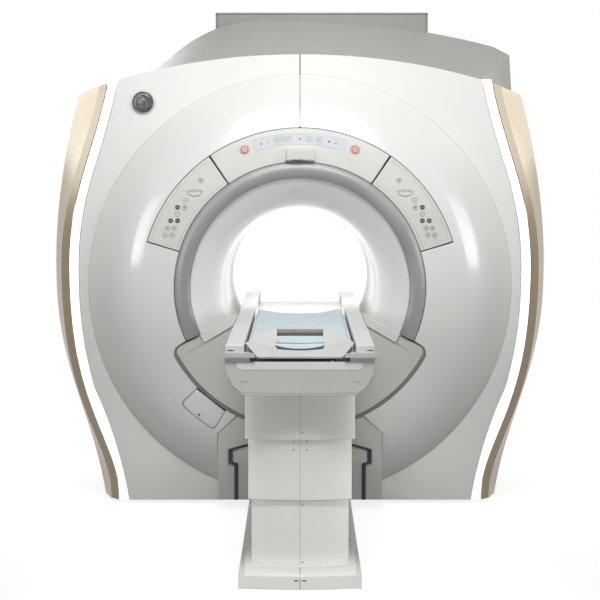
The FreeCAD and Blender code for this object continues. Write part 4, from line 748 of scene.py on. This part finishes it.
rail_white = finish("rail_gelcoat", MOULDED, 0.06, 0.0003, {"Specular IOR Level": 0.2}, edge=0.005,
                    colour=(246, 246, 244), shade=(241, 241, 239), cloud_scale=2.0,
                    grain_scale=600.0, roughness=0.5)
dress(rail_white, "side_rail_left", "side_rail_right")
block_grey = finish("end_block_plastic", MOULDED, 0.12, 0.0003, {}, edge=0.003, colour=(216, 216, 213),
                    shade=(209, 209, 206), cloud_scale=12.0, grain_scale=900.0, roughness=0.42)
dress(block_grey, "end_block_left", "end_block_right")
housing_grey = finish("housing_satin", MOULDED, 0.12, 0.0003, {"Coat Weight": 0.1}, edge=0.006,
                      colour=(212, 212, 208), shade=(206, 206, 202), cloud_scale=3.0,
                      grain_scale=800.0, roughness=0.4)
dress(housing_grey, "table_housing")
port_black = finish("port_plastic", MOULDED, 0.25, 0.0003, {}, colour=(34, 35, 36),
                    shade=(26, 27, 28), cloud_scale=20.0, grain_scale=1200.0, roughness=0.5)
dress(port_black, "coil_port_panel")
belt_black = finish("toothed_belt", BRUSHED, 0.8, 0.0006, {}, colour=(44, 44, 45), shade=(30, 30, 31),
                    streaks=(4.0, 420.0, 4.0), roughness=0.6)
dress(belt_black, "drive_belt")

# pale fascia strip under the connector slot, painted shade lines in the finger recesses and inside the
# housing's rim, a seam tick, and painted shade in the rails' slots
front = front_of("table_housing")
BAND_HALF, BAND_CORNER, BAND_TOP, BAND_LOW = 0.234, 0.016, 0.857, 0.8425
lower = [(BAND_HALF - BAND_CORNER + BAND_CORNER * math.cos(t), BAND_LOW - BAND_CORNER * math.sin(t))
         for t in [math.radians(15 * i) for i in range(7)]]
band = [(-BAND_HALF, BAND_TOP), (BAND_HALF, BAND_TOP)] + lower + [(-x, z) for x, z in reversed(lower)]
marks("housing_band", [([band], front, 0.0009)], rail_white, "table_top")
# painted shade: dark lines for the shade in the finger recesses and inside the housing's rim; the short tick
# is a seam
recesses = [[(middle + 0.014 * u, 0.781 + 0.007 * u * u) for u in steps(5)] for middle in (-0.205, 0.213)]
rim = [(0.262, 0.800), (0.258, 0.780), (0.246, 0.762), (0.226, 0.749), (0.200, 0.743), (0.130, 0.7405),
       (0.0, 0.7395)]
rim = [(-x, z) for x, z in rim] + rim[-2::-1]
marks("housing_marks", [([line_outline(points, width)], front, rise) for points, width, rise in (
    (recesses[0], 0.0022, 0.0003), (recesses[1], 0.0022, 0.0003), (rim, 0.0016, 0.0003),
    ([(0.0, 0.732), (0.0, 0.7385)], 0.0022, 0.0004))], joint_and_shade_tone, "table_top")
# painted shade: dark ovals stand in for the shade inside the rails' slots
marks("rail_slot_shades", [([circle(middle, 0.9000, 0.014, height=0.0026)], front_of(f"side_rail_{word}"), 0.0004)
                     for word, middle in (("left", -0.256), ("right", 0.259))],
      ink_and_shade, "table_top")

# contact strip over the connector slot and the small keyed parts at its right end: left and right,
# taper to the back, front and back, top, rise to the back, height
for name, left, right, taper, near, far, top, rise, height, made in (
        ("port_strip", -0.092, 0.095, 0.0, -1.9895, -1.972, 0.8742, 0.0, 0.0030, ink_and_shade),
        ("port_key_0", 0.1335, 0.1440, 0.0, -1.9900, -1.9860, 0.8690, 0.0008, 0.0090, dark_ink),
        ("port_key_1", 0.1475, 0.1530, 0.0, -1.9900, -1.9860, 0.8705, 0.0008, 0.0085, dark_ink),
        ("port_key_2", 0.1580, 0.1740, 0.0, -1.9900, -1.9860, 0.8670, 0.0008, 0.0065, dark_ink),
        ("port_catch", 0.1140, 0.1250, 0.0025, -1.9910, -1.9870, 0.8612, 0.0, 0.0030, rail_white)):
    outline = [(left, near, top), (right, near, top),
               (right - taper, far, top + rise), (left + taper, far, top + rise)]
    build(name, slab(outline, height), made, "table_top")


# ---------------------------------------------------------------- cradle
# Pale laminate tray that rolls into the bore, with a slanted eight-sided end cap, a round
# grab handle across it and a mattress in pale blue coated fabric.

cradle_white = finish("cradle_laminate", MOULDED, 0.08, 0.0003, {"Coat Weight": 0.15}, edge=0.003,
                      colour=(232, 231, 228), shade=(226, 225, 222), cloud_scale=4.0,
                      grain_scale=700.0, roughness=0.38)
dress(cradle_white, "cradle", "cradle_end_cap")
handle_grey = finish("handle_rubber", MOULDED, 0.25, 0.0003, {}, colour=(140, 132, 127),
                     shade=(129, 122, 117), cloud_scale=20.0, grain_scale=1000.0, roughness=0.5)
dress(handle_grey, "cradle_handle")
# slant of the end cap, and where its lower edge is
CAP_LEAN, CAP_FRONT, CAP_FOOT = math.radians(27.4), -2.0, 0.876


def cap_seat(across, along):
    """Point of the slanted end cap: across it, and up along it from its lower edge."""
    return Vector((across, CAP_FRONT + along * math.cos(CAP_LEAN), CAP_FOOT + along * math.sin(CAP_LEAN)))


# painted shade: grey lines on the flat end cap where the real cap bends between its facets
crease = ((0.198, 0.108), (0.150, 0.083), (0.115, 0.062), (0.098, 0.030))
marks("end_cap_crease_shade", [([line_outline([(side * x, up) for x, up in crease], 0.0012)], cap_seat, 0.0006)
                          for side in (-1, 1)], pale_ink_and_shade, "cradle")
# painted shade: a dark band across the mattress's near end stands in for the shadowed underside seen through
# the cap's opening
teal = finish("mattress_end_shade", MOULDED, 0.3, 0.0003, {}, colour=(84, 106, 112), shade=(74, 95, 101),
              cloud_scale=20.0, grain_scale=1400.0, roughness=0.6)
path = [Vector((0.092 * u, -1.934, 0.8960 + 0.0125 * u * u)) for u in steps(15)]
roll = circle(0.0, 0.0, 0.0060, 12, 0.0030)
build("mattress_end_shade", swept(path, roll, [Vector((0, 0, 1))] * len(path), [Vector((0, -1, 0))] * len(path)),
      teal, "cradle")


def coated_fabric():
    """Pale blue coated cloth: a fine plain weave under a thin skin, slightly clouded."""
    tree, given, out = skin_group("woven_skin", (
        ("Colour", "Color", GREY), ("Shade", "Color", GREY), ("Thread Scale", "Float", 2600.0),
        ("Roughness", "Float", 0.45), ("Spread", "Float", 0.04)))
    place = add(tree, "TexCoord").outputs["Object"]
    axes = add(tree, "SeparateXYZ", {0: place})
    threads = [reckon(tree, "SINE", reckon(tree, "MULTIPLY", axes.outputs[axis], given["Thread Scale"]))
               for axis in ("X", "Y")]
    weave = span(tree, reckon(tree, "MULTIPLY", *threads), -1.0, 1.0)
    cloud = add(tree, "TexNoise", {"Vector": place, "Scale": 5.0, "Detail": 4.0}).outputs["Fac"]
    tone = blend(tree, span(tree, cloud, 0.35, 0.65), given["Colour"], given["Shade"])
    return deliver(tree, given, out, tone, cloud, weave)


fabric = finish("mattress_fabric", coated_fabric(), 0.06, 0.0003, {"Specular IOR Level": 0.12},
                colour=(234, 248, 253), shade=(227, 243, 250), roughness=0.7)

# ends, half width and widest reach of the pad, its heights, the mesh's counts and the cloth's reach
NEAR, FAR, PAD_HALF, WIDEST = -1.893, 0.143, 0.1935, 0.1955
DISH, BELLY, SEAM_HEIGHT, SLOPE_RUN = 0.907, 0.888, 0.905, 0.058
ROWS, ACROSS, FRAMES, REACH = 190, 36, 20, 0.005
# pinched creases at the edges: depth, place along, lean and the place it turns about, place across,
# width and reach
PINCHES = ((0.004, -0.48, 0.25, 0.86, 0.88, 0.010, 0.12), (0.003, -1.32, -0.22, -0.9, -0.9, 0.012, 0.10))


def mattress_form():
    """Closed pad: dished top with raised rolls along both sides, a curved belly, a sloped near end."""
    rows = []
    for i in range(ROWS + 1):
        y = NEAR + (FAR - NEAR) * i / ROWS
        slope = max(0.0, 1 - (y - NEAR) / SLOPE_RUN)
        end = min(1.0, (FAR - y) / 0.012 + 0.35, (y - NEAR) / 0.010 + 0.35)
        row = []
        for k in range(ACROSS + 1):
            u = 2 * k / ACROSS - 1
            dish = DISH + 0.022 * (abs(u) ** 2.2)
            roll = 0.0045 * math.exp(-((abs(u) - 0.93) / 0.045) ** 2)
            roll += 0.0050 * noise.noise(Vector((2.0 * u, 3.5 * y, 4.0))) * (0.35 + abs(u))
            for deep, along, lean, turn, across, wide, reach in PINCHES:
                roll -= deep * math.exp(-((y - along - lean * (u - turn)) / wide) ** 2
                                        - ((u - across) / reach) ** 2)
            edge = 0.010 * max(0.0, (abs(u) - 0.955) / 0.045) ** 2
            top = (dish + roll - edge) * end + SEAM_HEIGHT * (1 - end) - 0.012 * slope * (1 - u * u)
            row.append(Vector((PAD_HALF * u, y, top)))
        for k in range(ACROSS, -1, -1):
            u = 2 * k / ACROSS - 1
            row.append(Vector((PAD_HALF * u, y, BELLY + 0.0172 * u * u)))
        rows.append(row)
    return lofted(rows)


def filled(mesh, reach):
    """Lets the cover fill and crumple: cloth under pressure, held within a reach of its start."""
    trial = stand("filling", mesh.copy())
    cloth = trial.modifiers.new("Cloth", "CLOTH")
    cloth.settings.use_pressure = True
    cloth.settings.uniform_pressure_force = 4.0
    cloth.settings.effector_weights.gravity = 0.0
    cloth.settings.quality = 5
    cloth.settings.shrink_min = -0.03
    cloth.settings.bending_stiffness = 0.3
    cloth.point_cache.frame_end = FRAMES
    for number in range(1, FRAMES + 1):
        scene.frame_set(number)
    shaped = trial.evaluated_get(bpy.context.evaluated_depsgraph_get()).to_mesh()
    for start, point, moved in zip(mesh.vertices, [v.co.copy() for v in mesh.vertices], shaped.vertices):
        if start.normal.z > -0.2:
            shift = moved.co - point
            spot = point + shift * min(1.0, reach / max(shift.length, 1e-9))
            start.co = (max(-WIDEST, min(WIDEST, spot.x)), spot.y, spot.z)
    bpy.data.objects.remove(trial)
    scene.frame_set(1)


form = mattress_form()
filled(form, REACH)
mattress = build("cradle_mattress", form, fabric, "cradle", smooth=60)
mattress.modifiers.new("Subdivision", "SUBSURF").levels = 1
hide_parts("mattress")


# ---------------------------------------------------------------- room
# Plain pale floor under a white surround, soft lamps, and the camera in front of the table.

def looked_at(tree):
    """Output that is one for rays that look straight, in a reflection or through a clear piece."""
    rays = add(tree, "LightPath").outputs
    seen = reckon(tree, "MAXIMUM", rays["Is Camera Ray"], rays["Is Glossy Ray"])
    return reckon(tree, "MAXIMUM", seen, rays["Is Transmission Ray"])


room_pale = bpy.data.materials.new("room_pale")
room_pale.use_nodes = True
tree = room_pale.node_tree
face = tree.nodes["Principled BSDF"]
place = add(tree, "TexCoord").outputs["Object"]
cloud = add(tree, "TexNoise", {"Vector": place, "Scale": 0.8, "Detail": 2.0})
tone = blend(tree, cloud.outputs["Fac"], paint(158, 158, 158), paint(163, 163, 163))
tree.links.new(tone, face.inputs["Base Color"])
face.inputs["Roughness"].default_value = 0.8
face.inputs["Specular IOR Level"].default_value = 0.1
far = span(tree, add(tree, "SeparateXYZ", {0: place}).outputs["Y"], 1.0, 5.0, 0.84, 1.0)
lift = add(tree, "Emission", {"Color": far, "Strength": 1.0})
dark = add(tree, "Emission", {"Color": (0, 0, 0, 1), "Strength": 0.0})
glow = add(tree, "MixShader", {0: looked_at(tree), 1: dark.outputs[0], 2: lift.outputs[0]})
both = add(tree, "AddShader", {0: face.outputs[0], 1: glow.outputs[0]})
tree.links.new(both.outputs[0], tree.nodes["Material Output"].inputs["Surface"])

bm = bmesh.new()
bmesh.ops.create_grid(bm, x_segments=8, y_segments=8, size=16.0)
sheet = bpy.data.meshes.new("studio_floor")
bm.to_mesh(sheet)
bm.free()
sheet.materials.append(room_pale)
floor = stand("studio_floor", sheet)

world = bpy.data.worlds.new("studio")
scene.world = world
world.use_nodes = True
tree = world.node_tree
tree.nodes["Background"].inputs["Color"].default_value = (0.95, 0.97, 1.0, 1.0)
tree.nodes["Background"].inputs["Strength"].default_value = 0.03
white = add(tree, "Background", {"Color": (1, 1, 1, 1), "Strength": 1.0})
dim = tree.nodes["Background"]
pick = add(tree, "MixShader", {0: looked_at(tree), 1: dim.outputs[0], 2: white.outputs[0]})
tree.links.new(pick.outputs[0], tree.nodes["World Output"].inputs["Surface"])

for name, spot, aim, width, height, power, spread in (
        ("top_lamp", (0.0, -3.4, 4.6), (0.0, 0.3, 2.5), 3.2, 2.2, 39, 76),
        ("table_lamp", (0.0, -3.6, 3.6), (0.0, -1.7, 0.8), 1.0, 1.0, 5.0, 45),
        ("side_lamp_left", (-4.2, -4.4, 2.3), (-0.4, 0.2, 2.4), 1.3, 1.9, 9, 55),
        ("side_lamp_right", (4.3, -3.0, 2.3), (0.5, 0.2, 2.4), 1.4, 2.0, 10, 55),
        ("low_lamp_left", (-1.7, -2.75, 0.55), (0.0, -1.9, 0.2), 0.4, 0.5, 1.9, 60),
        ("low_lamp_right", (1.7, -2.75, 0.55), (0.0, -1.9, 0.2), 0.4, 0.5, 2.3, 60),
        ("rim_lamp_left", (-4.6, 3.4, 3.0), (-0.9, 0.6, 1.6), 1.6, 1.6, 18, 120),
        ("rim_lamp_right", (4.6, 3.4, 3.0), (0.9, 0.6, 1.6), 1.6, 1.6, 14, 120),
        ("rear_lamp", (0.0, 5.6, 3.2), (0.0, 1.9, 1.1), 3.0, 1.4, 34, 120)):
    lamp = bpy.data.lights.new(name, "AREA")
    lamp.shape = "RECTANGLE"
    lamp.size, lamp.size_y, lamp.energy = width, height, power
    lamp.spread = math.radians(spread)
    holder = stand(name, lamp)
    holder.location = spot
    holder.rotation_euler = (Vector(aim) - Vector(spot)).to_track_quat("-Z", "Y").to_euler()

glow = bpy.data.lights.new("bore_glow", "POINT")
glow.energy, glow.shadow_soft_size = 1.8, 0.12
holder = stand("bore_glow", glow)
holder.location = (0.0, 0.84, 1.1)
holder.visible_camera = False

lens = bpy.data.cameras.new("camera")
lens.lens = 144.514
lens.sensor_width = 36
lens.shift_y = -0.1
camera = stand("camera", lens)
camera.location = (0.0, -10.8633, 1.584)
camera.rotation_euler = (math.radians(88.215), 0.0, 0.0)
scene.camera = camera
scene.view_settings.view_transform = "Standard"
